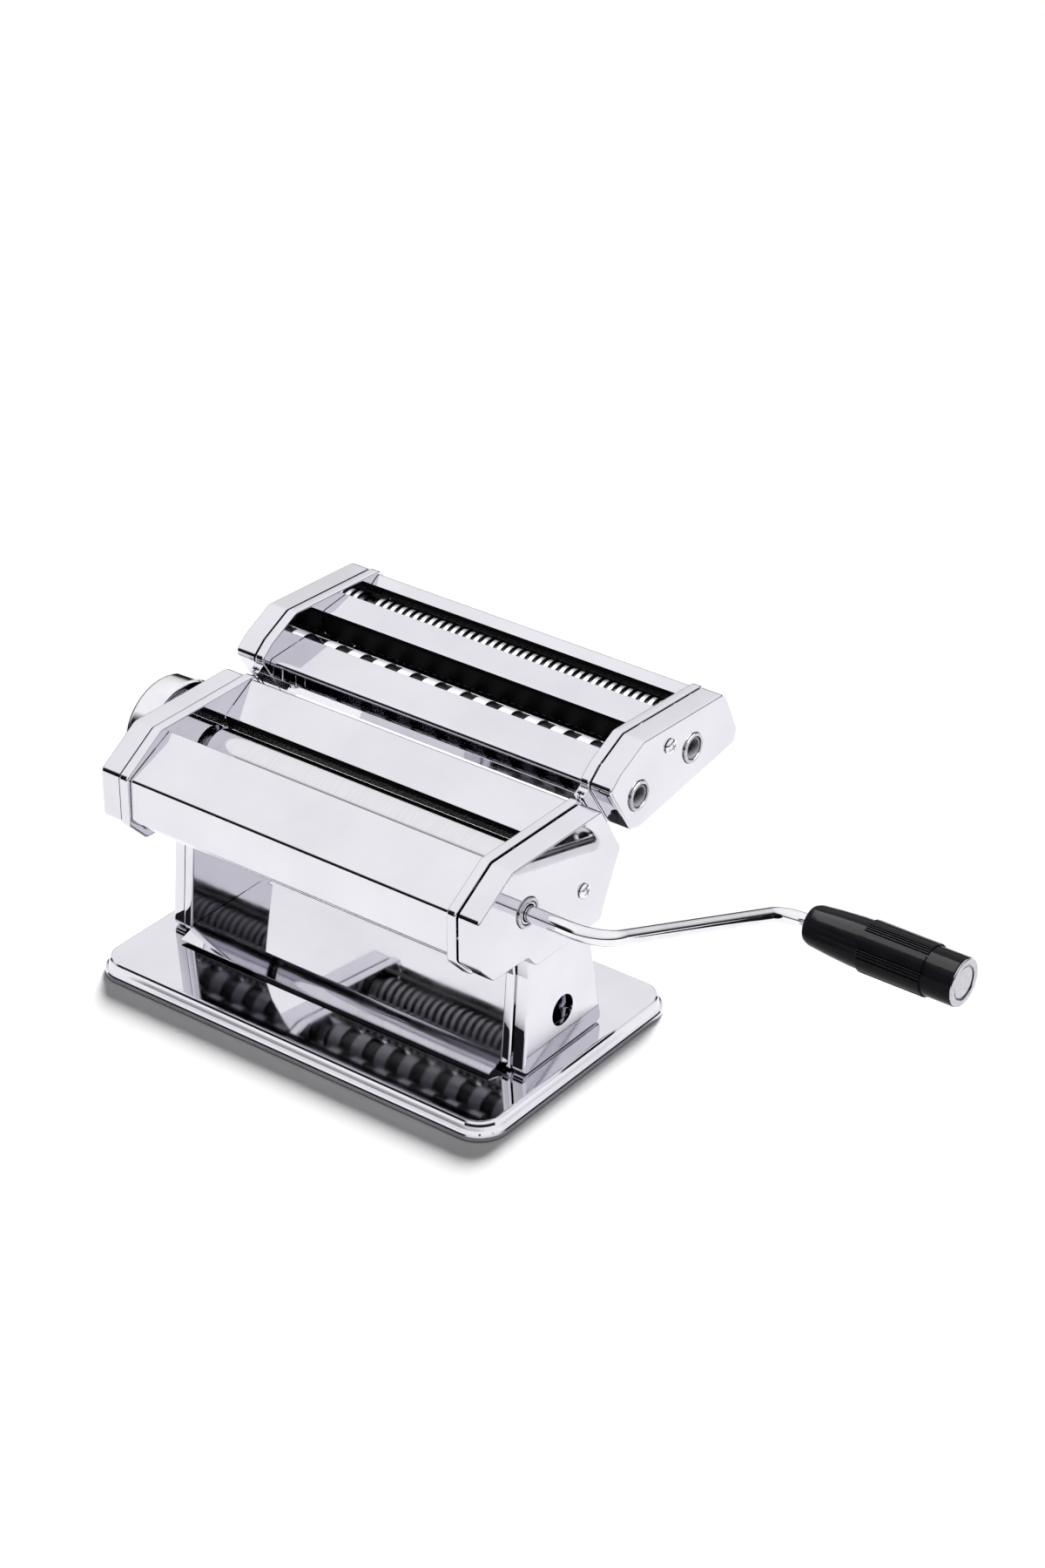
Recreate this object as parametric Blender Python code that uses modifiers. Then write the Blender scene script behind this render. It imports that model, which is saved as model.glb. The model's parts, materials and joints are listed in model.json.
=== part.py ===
"""Hand-cranked pasta roller: a two-roller machine on a sheet base, with a slide-on cutter head.

Lengths below are in millimetres and are turned to metres as each mesh is made.
The machine's own axes: X to the crank side from the middle of the rollers, Y to the back, Z up
from the table. Outlines of plates and covers are (Y, Z) points seen from the crank side.
"""

import math

import bmesh
import bpy
from mathutils import Matrix, Vector

MM = 0.001
GAP = 0.3  # clearance between neighbouring pieces

# Where the overall box's bottom centre lies in the machine's own axes: the assembly's origin.
BOX_CENTRE = (56.05, 21.87)

# Base
BASE_HALF_LENGTH = 101.8
BASE_FRONT = -65.0
BASE_BACK = 60.0
BASE_TOP = 8.0
BASE_LIFT = 0.6  # the feet stand this far out below the rim
BASE_CORNER = 13.0
BASE_SHEET = 0.8
FOOT_RADIUS = 6.0
FOOT_INSET = 16.0

# Side frames and covers
PANEL_END = 79.7  # the sheets between the frames end here
FRAME_INNER = 80.0
FRAME_OUTER = 84.5
FRAME_PROUD = 1.0  # the frame's edge stands this far outside the cover's outline
COVER_INNER = FRAME_OUTER + GAP
COVER_OUTER = 95.0
STAND_OUTER = 91.0
COVER_SHEET = 0.9
COVER_ROUND = 1.2  # rounding where a cover's face meets its edge band
ROUND_STEPS = 2
SHEET = 0.8
CUTTER_SHEET = 0.6

# Rollers
ROLLER_RADIUS = 10.6
ROLLER_HALF_LENGTH = 77.5
FRONT_AXIS = (-30.0, 87.0)
REAR_AXIS = (-8.2, 86.2)
ROLLER_TRAVEL = 1.6
TRAVEL_SPARE = 0.3  # the rear bearings' slots are this much longer than their travel
JOURNAL_RADIUS = 4.6
SOCKET_RADIUS = 3.7
SOCKET_DEPTH = 34.0
SOCKET_FACE = 95.8
REAR_JOURNAL_RADIUS = 6.2
REAR_BORE = 4.7
BUSH_OUTER = 6.3
BLOCK_HALF = (8.0, 8.6)

# Thickness adjuster
ADJUSTER_RADIUS = 2.8
KNOB_RADIUS = 25.0
KNOB_BACK = -96.6
KNOB_FACE = -110.5
PIN_RING = 18.0

# Crank
CRANK_ROD_RADIUS = 3.25
CRANK_INNER = 64.0
CRANK_BEND_X = 128.0
HANDLE_AXIS = (78.0, 50.0)
HANDLE_BEND_X = 140.0
HANDLE_START = 153.0
HANDLE_END = 223.0
HANDLE_RADIUS = 11.0
HANDLE_NECK_RADIUS = 7.7
HANDLE_TAIL_RADIUS = 10.2

# Tie rods and screws
TIE_ROD_RADIUS = 2.5
REAR_TIE = (5.6, 78.9)
FRONT_TIE = (-50.0, 72.5)
SCREW_HEAD_RADIUS = 3.2
SCREW_SHANK_RADIUS = 1.5
CLAMP_HOLE = (-2.0, 26.6)
CLAMP_HOLE_RADIUS = 6.7

# Cutter head
CUTTER_PITCH = 15.2  # between the two axes of a pair
CUTTER_TILT = math.radians(-8.5)
CUTTER_RADIUS = 8.0
CUTTER_CORE_RADIUS = CUTTER_PITCH - CUTTER_RADIUS - 0.35
FINE_RADIUS = 7.4  # plain roller that stands for the fine cutting rings
CUTTER_SOCKET_FACE = 95.9
WIDE_AXIS = (40.8, 104.9)
FINE_AXIS = (76.9, 109.8)
WIDE_STRIP = 6.5
WIDE_DISC_GAP = 0.3
CUTTER_SCREW = (61.3, 117.6)
CUTTER_TIE = (66.4, 104.8)
CUTTER_TIE_RADIUS = 2.0
COMB_LINE = [(9.9, -5.1), (2.9, -9.4)]  # (Y, Z) from the axis of a pair's rear roller
RAIL_SPAN = (2.0, 24.0)  # up the slope from its foot
HOOK_SPAN = (4.0, 26.0)

# Gears. A tooth is its height outside and depth inside the pitch circle, then half its width at
# the root and at the tip. The rollers' teeth are long, so that they stay in mesh as these part.
GEAR_TEETH = 12
GEAR_FACE = (86.0, 91.2)
ROLLER_TOOTH = (1.55, 2.3, 1.45, 0.55)
CUTTER_TOOTH = (1.2, 1.5, 1.05, 0.45)

# Outlines, front bottom corner first and then over the top
HEAD_OUTLINE = [
    (-59.5, 76.0), (-59.5, 96.5), (-39.0, 109.2), (17.0, 109.2), (30.4, 86.6), (27.1, 81.1),
    (19.4, 65.1), (17.7, 59.6), (-24.0, 59.6), (-29.0, 65.7), (-50.5, 66.5),
]
STAND_OUTLINE = [
    (-27.0, BASE_TOP + GAP), (-23.3, 51.4), (-23.6, 62.6), (18.6, 62.6), (15.7, 52.9),
    (24.2, BASE_TOP + GAP),
]
FRAME_OUTLINE = [
    (-59.5, 76.0), (-59.5, 96.5), (-39.0, 109.2), (17.0, 109.2), (30.4, 86.6), (27.1, 81.1),
    (19.4, 65.1), (15.7, 52.9), (24.2, BASE_TOP + 1.5), (-27.0, BASE_TOP + 1.5), (-23.3, 51.4),
    (-24.0, 59.6), (-29.0, 65.7), (-50.5, 66.5),
]
CUTTER_OUTLINE = [
    (36.0, 91.4), (21.9, 114.1), (29.0, 120.0), (44.0, 127.3), (97.0, 124.8), (100.5, 122.0),
    (108.5, 104.5), (106.4, 98.8), (42.0, 89.8),
]

# Local X, Y and Z of a plate become the machine's Y, Z and X
SIDEWAYS = Matrix(((0, 0, 1), (1, 0, 0), (0, 1, 0))).to_4x4()

# The way the cutter head slides: up along the sloping back edge of the side covers
SLOPE_FOOT = Vector((0.0, 30.4, 86.6))
SLOPE_UP = Vector((0.0, 17.0 - 30.4, 109.2 - 86.6)).normalized()
SLOPE_OUT = Vector((0.0, SLOPE_UP.z, -SLOPE_UP.y))


def clear_scene():
    for old in list(bpy.data.objects):
        bpy.data.objects.remove(old)


def new_collection(name):
    made = bpy.data.collections.new(name)
    bpy.context.scene.collection.children.link(made)
    return made


def principled(name, colour, roughness, metallic):
    made = bpy.data.materials.new(name)
    made.use_nodes = True
    shader = made.node_tree.nodes["Principled BSDF"]
    shader.inputs["Base Color"].default_value = (*colour, 1.0)
    shader.inputs["Roughness"].default_value = roughness
    shader.inputs["Metallic"].default_value = metallic
    return made


# Outlines


def fillet(points, radius, steps=2):
    """Round the corners of a closed outline; a corner with short sides gets a smaller arc."""
    rounded = []
    count = len(points)
    for i, corner in enumerate(points):
        here = Vector(corner)
        back = Vector(points[i - 1]) - here
        ahead = Vector(points[(i + 1) % count]) - here
        half = back.angle(ahead) / 2
        reach = min(radius / math.tan(half), back.length * 0.45, ahead.length * 0.45)
        arc = reach * math.tan(half)
        middle = here + (back.normalized() + ahead.normalized()).normalized() * arc / math.sin(half)
        start = here + back.normalized() * reach - middle
        turn = start.angle_signed(here + ahead.normalized() * reach - middle)
        for step in range(steps + 1):
            angle = -turn * step / steps
            rounded.append((
                middle.x + start.x * math.cos(angle) - start.y * math.sin(angle),
                middle.y + start.x * math.sin(angle) + start.y * math.cos(angle),
            ))
    return rounded


def inset(points, distance):
    """A clockwise (Y, Z) outline moved inwards by a distance, corner by corner."""
    moved = []
    count = len(points)
    for i, corner in enumerate(points):
        here = Vector(corner)
        before = (here - Vector(points[i - 1])).normalized()
        after = (Vector(points[(i + 1) % count]) - here).normalized()
        inward = Vector((before.y, -before.x)) + Vector((after.y, -after.x))
        length = distance / max(0.2, inward.length / 2)
        moved.append(tuple(here + inward.normalized() * length))
    return moved


def circle(centre, radius, steps=20):
    return [
        (
            centre[0] + radius * math.cos(2 * math.pi * i / steps),
            centre[1] + radius * math.sin(2 * math.pi * i / steps),
        )
        for i in range(steps)
    ]


def rectangle(low, high):
    return [(low[0], low[1]), (low[0], high[1]), (high[0], high[1]), (high[0], low[1])]


def strip(points, thickness):
    """The closed outline of a bent sheet: a line of points and the same line moved to its left."""
    other = []
    for i, point in enumerate(points):
        here = Vector(point)
        before = here - Vector(points[max(i - 1, 0)])
        after = Vector(points[min(i + 1, len(points) - 1)]) - here
        along = [d.normalized() for d in (before, after) if d.length > 0]
        left = sum((Vector((-d.y, d.x)) for d in along), Vector((0.0, 0.0)))
        length = thickness / max(0.2, left.length / len(along))
        other.append(tuple(here + left.normalized() * length))
    return list(points) + other[::-1]


# Solids


class Assembly:
    """The collections, the parents by name and the finishes that the pieces are made with."""

    def __init__(self):
        self.parts = new_collection("pasta_roller_machine")
        self.cutters = new_collection("cutters")
        self.finish = {
            "steel": principled("polished_steel", (0.80, 0.80, 0.81), 0.08, 1.0),
            "roller": principled("ground_steel", (0.74, 0.74, 0.75), 0.15, 1.0),
            "rod": principled("chromed_rod", (0.82, 0.82, 0.83), 0.06, 1.0),
            "knob": principled("chromed_knob", (0.82, 0.82, 0.83), 0.06, 1.0),
            "bush": principled("zinc_bush", (0.62, 0.63, 0.65), 0.3, 1.0),
            "gear": principled("gear_steel", (0.45, 0.45, 0.46), 0.4, 1.0),
            "rubber": principled("rubber", (0.03, 0.03, 0.03), 0.8, 0.0),
            "nylon": principled("nylon", (0.04, 0.04, 0.05), 0.5, 0.0),
            "grip": principled("black_handle", (0.015, 0.014, 0.018), 0.2, 0.0),
        }
        self.parents = {"origin": self.empty("origin", None, (-BOX_CENTRE[0], -BOX_CENTRE[1], 0.0))}

    def empty(self, name, parent, place):
        made = bpy.data.objects.new(name, None)
        made.location = Vector(place) * MM
        made.parent = parent
        self.parts.objects.link(made)
        return made

    def pivot(self, name, parent, place):
        """An empty on a joint's axis; place is in the machine's axes."""
        holder = self.parents[parent]
        held_at = holder.get("place_mm", (0.0, 0.0, 0.0))
        made = self.empty(name, holder, Vector(place) - Vector(held_at))
        made["place_mm"] = place
        self.parents[name] = made

    def put(self, name, mesh, parent, finish, matrix=None):
        """Link a mesh made in the machine's axes, in metres, under the empty of its joint."""
        made = bpy.data.objects.new(name, mesh)
        holder = self.parents[parent]
        held_at = Vector(holder.get("place_mm", (0.0, 0.0, 0.0))) * MM
        made.parent = holder
        mesh.transform(Matrix.Translation(-held_at) @ (matrix or Matrix()))
        mesh.materials.clear()
        mesh.materials.append(self.finish[finish])
        self.parts.objects.link(made)
        return made

    def tool(self, name, mesh):
        """A cutter or a shape to join, in the machine's axes."""
        made = bpy.data.objects.new(name, mesh)
        made.parent = self.parents["origin"]
        made.hide_render = True
        made.display_type = "WIRE"
        self.cutters.objects.link(made)
        return made


def combine(piece, tool, operation):
    change = piece.modifiers.new(operation.lower(), "BOOLEAN")
    change.operation = operation
    change.object = tool


def mesh_of_curve(data, matrix):
    """A curve as a closed mesh: its caps are loose until close points are merged."""
    made = bpy.data.objects.new("outline", data)
    bpy.context.scene.collection.objects.link(made)
    bpy.context.view_layer.update()
    mesh = bpy.data.meshes.new_from_object(made.evaluated_get(bpy.context.evaluated_depsgraph_get()))
    bpy.data.objects.remove(made)
    weld(mesh)
    mesh.transform(matrix)
    return mesh


def weld(mesh):
    work = bmesh.new()
    work.from_mesh(mesh)
    bmesh.ops.remove_doubles(work, verts=work.verts, dist=0.00001)
    bmesh.ops.recalc_face_normals(work, faces=work.faces)
    work.to_mesh(mesh)
    work.free()


def plate_mesh(outlines, low, high, matrix=SIDEWAYS):
    """A flat plate with the first outline as its edge and the others as its holes."""
    data = bpy.data.curves.new("outline", "CURVE")
    data.dimensions = "2D"
    data.fill_mode = "BOTH"
    data.extrude = (high - low) / 2 * MM
    for outline in outlines:
        spline = data.splines.new("POLY")
        spline.points.add(len(outline) - 1)
        for point, (a, b) in zip(spline.points, outline):
            point.co = (a * MM, b * MM, 0.0, 1.0)
        spline.use_cyclic_u = True
    lift = Matrix.Translation((0.0, 0.0, (high + low) / 2 * MM))
    return mesh_of_curve(data, matrix @ lift)


def plate(build, name, outlines, low, high, parent, finish):
    return build.put(name, plate_mesh(outlines, low, high), parent, finish)


def panel(build, name, points, parent, finish, thickness=SHEET):
    """A sheet bent along X, from the line of its outer side; the metal lies to the line's left."""
    return plate(build, name, [strip(points, thickness)], -PANEL_END, PANEL_END, parent, finish)


def stacked_mesh(rings):
    """A closed body through rings of equal point counts, capped at both ends."""
    work = bmesh.new()
    loops = [[work.verts.new(Vector(point) * MM) for point in ring] for ring in rings]
    for lower, upper in zip(loops, loops[1:]):
        for i, corner in enumerate(lower):
            j = (i + 1) % len(lower)
            work.faces.new((corner, lower[j], upper[j], upper[i]))
    work.faces.new(loops[0][::-1])
    work.faces.new(loops[-1])
    bmesh.ops.recalc_face_normals(work, faces=work.faces)
    mesh = bpy.data.meshes.new("stack")
    work.to_mesh(mesh)
    work.free()
    return mesh


def cushion_mesh(outline, low, high, side, depth=0.0, radius=3.0, rounding=0.0):
    """An outline swept from low to high along X on one side, its outer edge rounded over."""
    shape = fillet(inset(outline, depth), max(radius - depth, 0.6))
    rings = [[(side * low, y, z) for y, z in shape]]
    for i in range(ROUND_STEPS if rounding else 0):
        angle = math.pi / 2 * i / ROUND_STEPS
        edge = fillet(
            inset(outline, depth + rounding * (1 - math.cos(angle))), max(radius - depth, 0.6)
        )
        x = high - rounding + rounding * math.sin(angle)
        rings.append([(side * x, y, z) for y, z in edge])
    face = fillet(inset(outline, depth + rounding), max(radius - depth, 0.6))
    rings.append([(side * high, y, z) for y, z in face])
    return stacked_mesh(rings)


def turned_mesh(profile, steps=20):
    """A (radius, X) profile turned about the X axis; a profile off the axis closes on itself."""
    area = sum(
        a[0] * b[1] - b[0] * a[1] for a, b in zip(profile, profile[1:] + profile[:1])
    )
    line = profile if area < 0 else profile[::-1]
    on_axis = min(radius for radius, _ in line) == 0
    count = len(line)
    edges = [(i, i + 1) for i in range(count - 1)] + ([] if on_axis else [(count - 1, 0)])
    mesh = bpy.data.meshes.new("profile")
    mesh.from_pydata([(radius * MM, 0.0, x * MM) for radius, x in line], edges, [])
    made = bpy.data.objects.new("profile", mesh)
    bpy.context.scene.collection.objects.link(made)
    screw = made.modifiers.new("turn", "SCREW")
    screw.steps = steps
    screw.render_steps = steps
    screw.use_merge_vertices = True
    screw.merge_threshold = 0.000001
    bpy.context.view_layer.update()
    solid = bpy.data.meshes.new_from_object(
        made.evaluated_get(bpy.context.evaluated_depsgraph_get())
    )
    bpy.data.objects.remove(made)
    weld(solid)
    solid.transform(Matrix.Rotation(math.pi / 2, 4, "Y"))
    return solid


def turned(build, name, profile, axis, parent, finish, steps=20):
    """A turned piece whose axis runs along X through a (Y, Z) point."""
    place = Matrix.Translation(Vector((0.0, axis[0], axis[1])) * MM)
    return build.put(name, turned_mesh(profile, steps), parent, finish, place)


def rod_profile(radius, low, high, bore=None):
    """A round rod; bore is the radius and depth of a hole in each end."""
    if bore is None:
        return [(0, high), (radius, high), (radius, low), (0, low)]
    hole, depth = bore
    return [
        (0, high - depth), (hole, high - depth), (hole, high), (radius, high),
        (radius, low), (hole, low), (hole, low + depth), (0, low + depth),
    ]


def ring_profile(inner, outer, low, high):
    return [(inner, high), (outer, high), (outer, low), (inner, low)]


# Base


def rounded_rectangle(grow, z):
    """The base's plan, moved outwards by a distance, at a height."""
    x = BASE_HALF_LENGTH + grow
    front = BASE_FRONT - grow
    back = BASE_BACK + grow
    corners = [(-x, front), (-x, back), (x, back), (x, front)]
    return [(a, b, z) for a, b in fillet(corners, BASE_CORNER + grow, steps=5)]


def add_base(build):
    rim = [(0.0, BASE_LIFT), (0.0, 2.4), (-1.2, 3.2), (-1.9, 6.0), (-3.6, BASE_TOP)]
    outside = [rounded_rectangle(grow, z) for grow, z in rim]
    inside = [rounded_rectangle(grow - BASE_SHEET, z) for grow, z in rim[:-2]]
    ceiling = BASE_TOP - BASE_SHEET
    inside += [rounded_rectangle(grow - BASE_SHEET, min(z, ceiling)) for grow, z in rim[-2:]]
    build.put("base_plate", stacked_mesh(inside[::-1] + outside), "frame", "steel")
    for front, y in (("front", BASE_FRONT + FOOT_INSET), ("rear", BASE_BACK - FOOT_INSET)):
        for side, x in (("left", -1), ("right", 1)):
            top = ceiling - GAP
            foot = turned_mesh([(0, top), (FOOT_RADIUS, top), (FOOT_RADIUS + 1, 0), (0, 0)], 16)
            upright = Matrix.Rotation(-math.pi / 2, 4, "Y")
            place = Matrix.Translation(Vector((x * (BASE_HALF_LENGTH - FOOT_INSET), y, 0)) * MM)
            build.put(f"foot_{front}_{side}", foot, "frame", "rubber", place @ upright)


# Sides


def block_slot():
    """The slot that a rear bearing block slides in."""
    y, z = REAR_AXIS
    return rectangle(
        (y - BLOCK_HALF[0] - GAP, z - BLOCK_HALF[1] - GAP),
        (y + BLOCK_HALF[0] + GAP + ROLLER_TRAVEL + TRAVEL_SPARE, z + BLOCK_HALF[1] + GAP),
    )


def add_side_frame(build, name, side):
    outline = fillet(inset(FRAME_OUTLINE, -FRAME_PROUD), 3.5)
    holes = [
        circle(FRONT_AXIS, BUSH_OUTER + GAP),
        circle(REAR_TIE, TIE_ROD_RADIUS + GAP, 12),
        circle(FRONT_TIE, TIE_ROD_RADIUS + GAP, 12),
        block_slot(),
    ]
    low, high = sorted((side * FRAME_INNER, side * FRAME_OUTER))
    plate(build, name, [outline, *holes], low, high, "frame", "steel")


def add_side_cover(build, name, side, holes):
    """A pressed shell: a deep head over a shallower stand, open towards the frame."""
    head = cushion_mesh(HEAD_OUTLINE, COVER_INNER, COVER_OUTER, side, rounding=COVER_ROUND)
    shell = build.put(name, head, "frame", "steel")
    stand = cushion_mesh(STAND_OUTLINE, COVER_INNER, STAND_OUTER, side, rounding=COVER_ROUND)
    combine(shell, build.tool(f"{name}_stand", stand), "UNION")
    mouth = COVER_INNER - 1.0
    hollow_round = COVER_ROUND - COVER_SHEET
    for part, outline, face in (("head", HEAD_OUTLINE, COVER_OUTER), ("stand", STAND_OUTLINE, STAND_OUTER)):
        hollow = cushion_mesh(
            outline, mouth, face - COVER_SHEET, side, depth=COVER_SHEET, rounding=hollow_round
        )
        combine(shell, build.tool(f"{name}_{part}_hollow", hollow), "DIFFERENCE")
    for i, (centre, radius) in enumerate(holes):
        add_hole(build, shell, f"{name}_hole_{i}", centre, radius, side)
    return shell


def add_hole(build, shell, name, centre, radius, side):
    """A hole through the outer wall only."""
    low, high = sorted((side * (STAND_OUTER - 2.5), side * (COVER_OUTER + 5.0)))
    combine(shell, build.tool(name, plate_mesh([circle(centre, radius)], low, high)), "DIFFERENCE")


def screw_profile(side, tip):
    """A pan head on a cover's face, with its shank running in to tip."""
    head = COVER_OUTER + GAP
    crown = head + 1.6
    profile = [
        (0, crown), (SCREW_HEAD_RADIUS * 0.7, crown), (SCREW_HEAD_RADIUS, head + 0.7),
        (SCREW_HEAD_RADIUS, head), (SCREW_SHANK_RADIUS, head),
        (SCREW_SHANK_RADIUS, tip), (0, tip),
    ]
    return [(radius, side * x) for radius, x in profile]


def add_tie_rods(build):
    rear = rod_profile(TIE_ROD_RADIUS, -FRAME_OUTER, FRAME_OUTER, bore=(SCREW_SHANK_RADIUS + GAP, 10.0))
    turned(build, "tie_rod_rear", rear, REAR_TIE, "frame", "rod", 12)
    front = rod_profile(TIE_ROD_RADIUS, -FRAME_OUTER, FRAME_OUTER)
    turned(build, "tie_rod_front", front, FRONT_TIE, "frame", "rod", 12)
    turned(build, "cover_screw", screw_profile(1, FRAME_INNER - 3.0), REAR_TIE, "frame", "rod", 12)


def add_sheets(build):
    front = [(-50.5, 76.4), (-59.0, 76.4), (-58.6, 95.9), (-39.0, 105.4), (-34.4, 107.6), (-34.0, 105.6)]
    panel(build, "front_cover", front[::-1], "frame", "steel")
    top = [(-1.6, 96.8), (-2.8, 98.9), (15.8, 109.6), (28.9, 88.0), (27.0, 84.6)]
    panel(build, "top_cover", top[::-1], "frame", "steel")
    tray = [(16.0, 12.6), (-24.6, 12.6), (-34.6, 9.6)]
    panel(build, "tray", tray, "frame", "steel", 0.6)
    blade = [(-47.0, 70.0 - 0.6), (-40.5, 70.6), (-33.2, 75.4)]
    panel(build, "front_scraper", blade[::-1], "frame", "steel", 0.5)


# Front roller, its bushes and gears


def add_front_bushes(build):
    inner = JOURNAL_RADIUS + GAP
    turned(build, "front_bush_left", ring_profile(inner, BUSH_OUTER, -84.4, -78.2), FRONT_AXIS, "frame", "bush")
    turned(build, "front_bush_right", ring_profile(inner, BUSH_OUTER, 78.2, 96.0), FRONT_AXIS, "frame", "bush")


def socket_roller(body_profile, left_end, socket_face):
    """A roller on journals, its crank-side journal bored as a crank socket."""
    end = ROLLER_HALF_LENGTH
    depth = socket_face - SOCKET_DEPTH
    return [
        (0, depth), (SOCKET_RADIUS, depth), (SOCKET_RADIUS, socket_face),
        (JOURNAL_RADIUS, socket_face), (JOURNAL_RADIUS, end), *body_profile,
        (JOURNAL_RADIUS, -end), (JOURNAL_RADIUS, left_end), (0, left_end),
    ]


def plain_roller(body_profile, left_end):
    end = ROLLER_HALF_LENGTH
    return [
        (0, FRAME_OUTER), (JOURNAL_RADIUS, FRAME_OUTER), (JOURNAL_RADIUS, end), *body_profile,
        (JOURNAL_RADIUS, -end), (JOURNAL_RADIUS, left_end), (0, left_end),
    ]


def barrel(radius):
    return [(radius, ROLLER_HALF_LENGTH), (radius, -ROLLER_HALF_LENGTH)]


def gear_outline(pitch_radius, centre, phase, shape):
    """Trapezoid teeth; phase is the angle of a tooth's middle line."""
    points = []
    height, depth, half_root, half_tip = shape
    for tooth in range(GEAR_TEETH):
        middle = phase - 2 * math.pi * tooth / GEAR_TEETH
        for across, radius in (
            (half_root, pitch_radius - depth), (half_tip, pitch_radius + height),
            (-half_tip, pitch_radius + height), (-half_root, pitch_radius - depth),
        ):
            points.append((
                centre[0] + radius * math.cos(middle) - across * math.sin(middle),
                centre[1] + radius * math.sin(middle) + across * math.cos(middle),
            ))
    return points


def add_gear_pair(build, names, axes, parents, bores, shape):
    """Two equal gears in mesh: a tooth of the first lies between two teeth of the second."""
    apart = Vector(axes[1]) - Vector(axes[0])
    towards = math.atan2(apart.y, apart.x)
    half_tooth = math.pi / GEAR_TEETH
    low, high = -GEAR_FACE[1], -GEAR_FACE[0]
    for name, axis, parent, bore, phase in zip(names, axes, parents, bores, (towards, towards + half_tooth)):
        outline = gear_outline(apart.length / 2, axis, phase, shape)
        plate(build, name, [outline, circle(axis, bore)], low, high, parent, "gear")


def add_rollers(build):
    front = socket_roller(barrel(ROLLER_RADIUS), -GEAR_FACE[1] - GAP, SOCKET_FACE)
    turned(build, "front_roller", front, FRONT_AXIS, "front_roller_pivot", "roller", 24)
    end = ROLLER_HALF_LENGTH
    rear = [
        (REAR_BORE, FRAME_OUTER), (REAR_JOURNAL_RADIUS, FRAME_OUTER), (REAR_JOURNAL_RADIUS, end),
        *barrel(ROLLER_RADIUS), (REAR_JOURNAL_RADIUS, -end),
        (REAR_JOURNAL_RADIUS, -GEAR_FACE[1] - GAP), (REAR_BORE, -GEAR_FACE[1] - GAP),
    ]
    turned(build, "rear_roller", rear, REAR_AXIS, "rear_roller_pivot", "roller", 24)
    add_gear_pair(
        build, ("front_gear", "rear_gear"), (FRONT_AXIS, REAR_AXIS),
        ("front_roller_pivot", "rear_roller_pivot"),
        (JOURNAL_RADIUS + GAP, REAR_JOURNAL_RADIUS + GAP), ROLLER_TOOTH,
    )


def add_carriage(build):
    y, z = REAR_AXIS
    for side_name, side in (("left", -1), ("right", 1)):
        edge = rectangle((y - BLOCK_HALF[0], z - BLOCK_HALF[1]), (y + BLOCK_HALF[0], z + BLOCK_HALF[1]))
        low, high = sorted((side * FRAME_INNER, side * FRAME_OUTER))
        plate(
            build, f"rear_bearing_{side_name}", [edge, circle(REAR_AXIS, REAR_JOURNAL_RADIUS + GAP)],
            low, high, "carriage_pivot", "bush",
        )
    blade = [(6.6, 70.0), (0.6, 71.2), (-5.2, 74.9)]
    panel(build, "rear_scraper", blade, "carriage_pivot", "steel", 0.5)


# Thickness adjuster


def add_adjuster(build):
    cap = KNOB_FACE - 0.6
    shaft = rod_profile(ADJUSTER_RADIUS, cap + 3.2, FRAME_OUTER + 1.5)
    turned(build, "adjuster_shaft", shaft, REAR_AXIS, "adjuster_pivot", "rod", 16)
    nut = [(0, cap), (7.2, cap), (7.2, cap + 2.9), (0, cap + 2.9)]
    turned(build, "dial_nut", nut, REAR_AXIS, "adjuster_pivot", "rod", 16)
    plate_face = -COVER_OUTER - GAP
    disc = plate_mesh(
        [circle(REAR_AXIS, 21.0, 32), circle(REAR_AXIS, ADJUSTER_RADIUS + 1.0, 16)],
        plate_face - 0.8, plate_face,
    )
    index = build.put("index_plate", disc, "frame", "bush")
    pin_place = (REAR_AXIS[0], REAR_AXIS[1] + PIN_RING)
    pin = plate_mesh([circle(pin_place, 1.2, 10)], plate_face - 3.2, plate_face - 0.2)
    combine(index, build.tool("index_pin", pin), "UNION")


def add_knob(build):
    """A rounded knob, hollow in front for its spring and grooved behind for the index pin."""
    back, face = KNOB_BACK, KNOB_FACE
    floor = -101.2
    profile = [
        (ADJUSTER_RADIUS + GAP, back), (PIN_RING - 1.6, back), (PIN_RING - 1.6, back - 3.0),
        (PIN_RING + 1.6, back - 3.0), (PIN_RING + 1.6, back), (KNOB_RADIUS - 0.8, back),
        (KNOB_RADIUS, back - 0.8), (KNOB_RADIUS, face + 4.2), (KNOB_RADIUS - 1.0, face + 1.9),
        (KNOB_RADIUS - 2.6, face + 0.6), (KNOB_RADIUS - 5.0, face), (8.0, face), (8.0, floor),
        (ADJUSTER_RADIUS + GAP, floor),
    ]
    turned(build, "dial_knob", profile, REAR_AXIS, "dial_pivot", "knob", 24)
    coil_end = KNOB_FACE + 2.6
    spring = ring_profile(4.2, 6.4, floor - GAP, coil_end)
    turned(build, "dial_spring", spring, REAR_AXIS, "dial_pivot", "rod", 12)


# Crank


def crank_path():
    """The rod's middle line: out of the socket, along the arm and into the handle."""
    corners = [
        Vector((CRANK_INNER, *FRONT_AXIS)), Vector((CRANK_BEND_X, *FRONT_AXIS)),
        Vector((HANDLE_BEND_X, *HANDLE_AXIS)), Vector((HANDLE_END - 6.0, *HANDLE_AXIS)),
    ]
    points = [corners[0]]
    for before, here, after, reach in (
        (corners[0], corners[1], corners[2], 13.0), (corners[1], corners[2], corners[3], 10.0),
    ):
        start = here + (before - here).normalized() * reach
        end = here + (after - here).normalized() * reach
        for i in range(7):
            t = i / 6
            points.append(start * (1 - t) ** 2 + here * 2 * t * (1 - t) + end * t ** 2)
    return points + [corners[3]]


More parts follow.
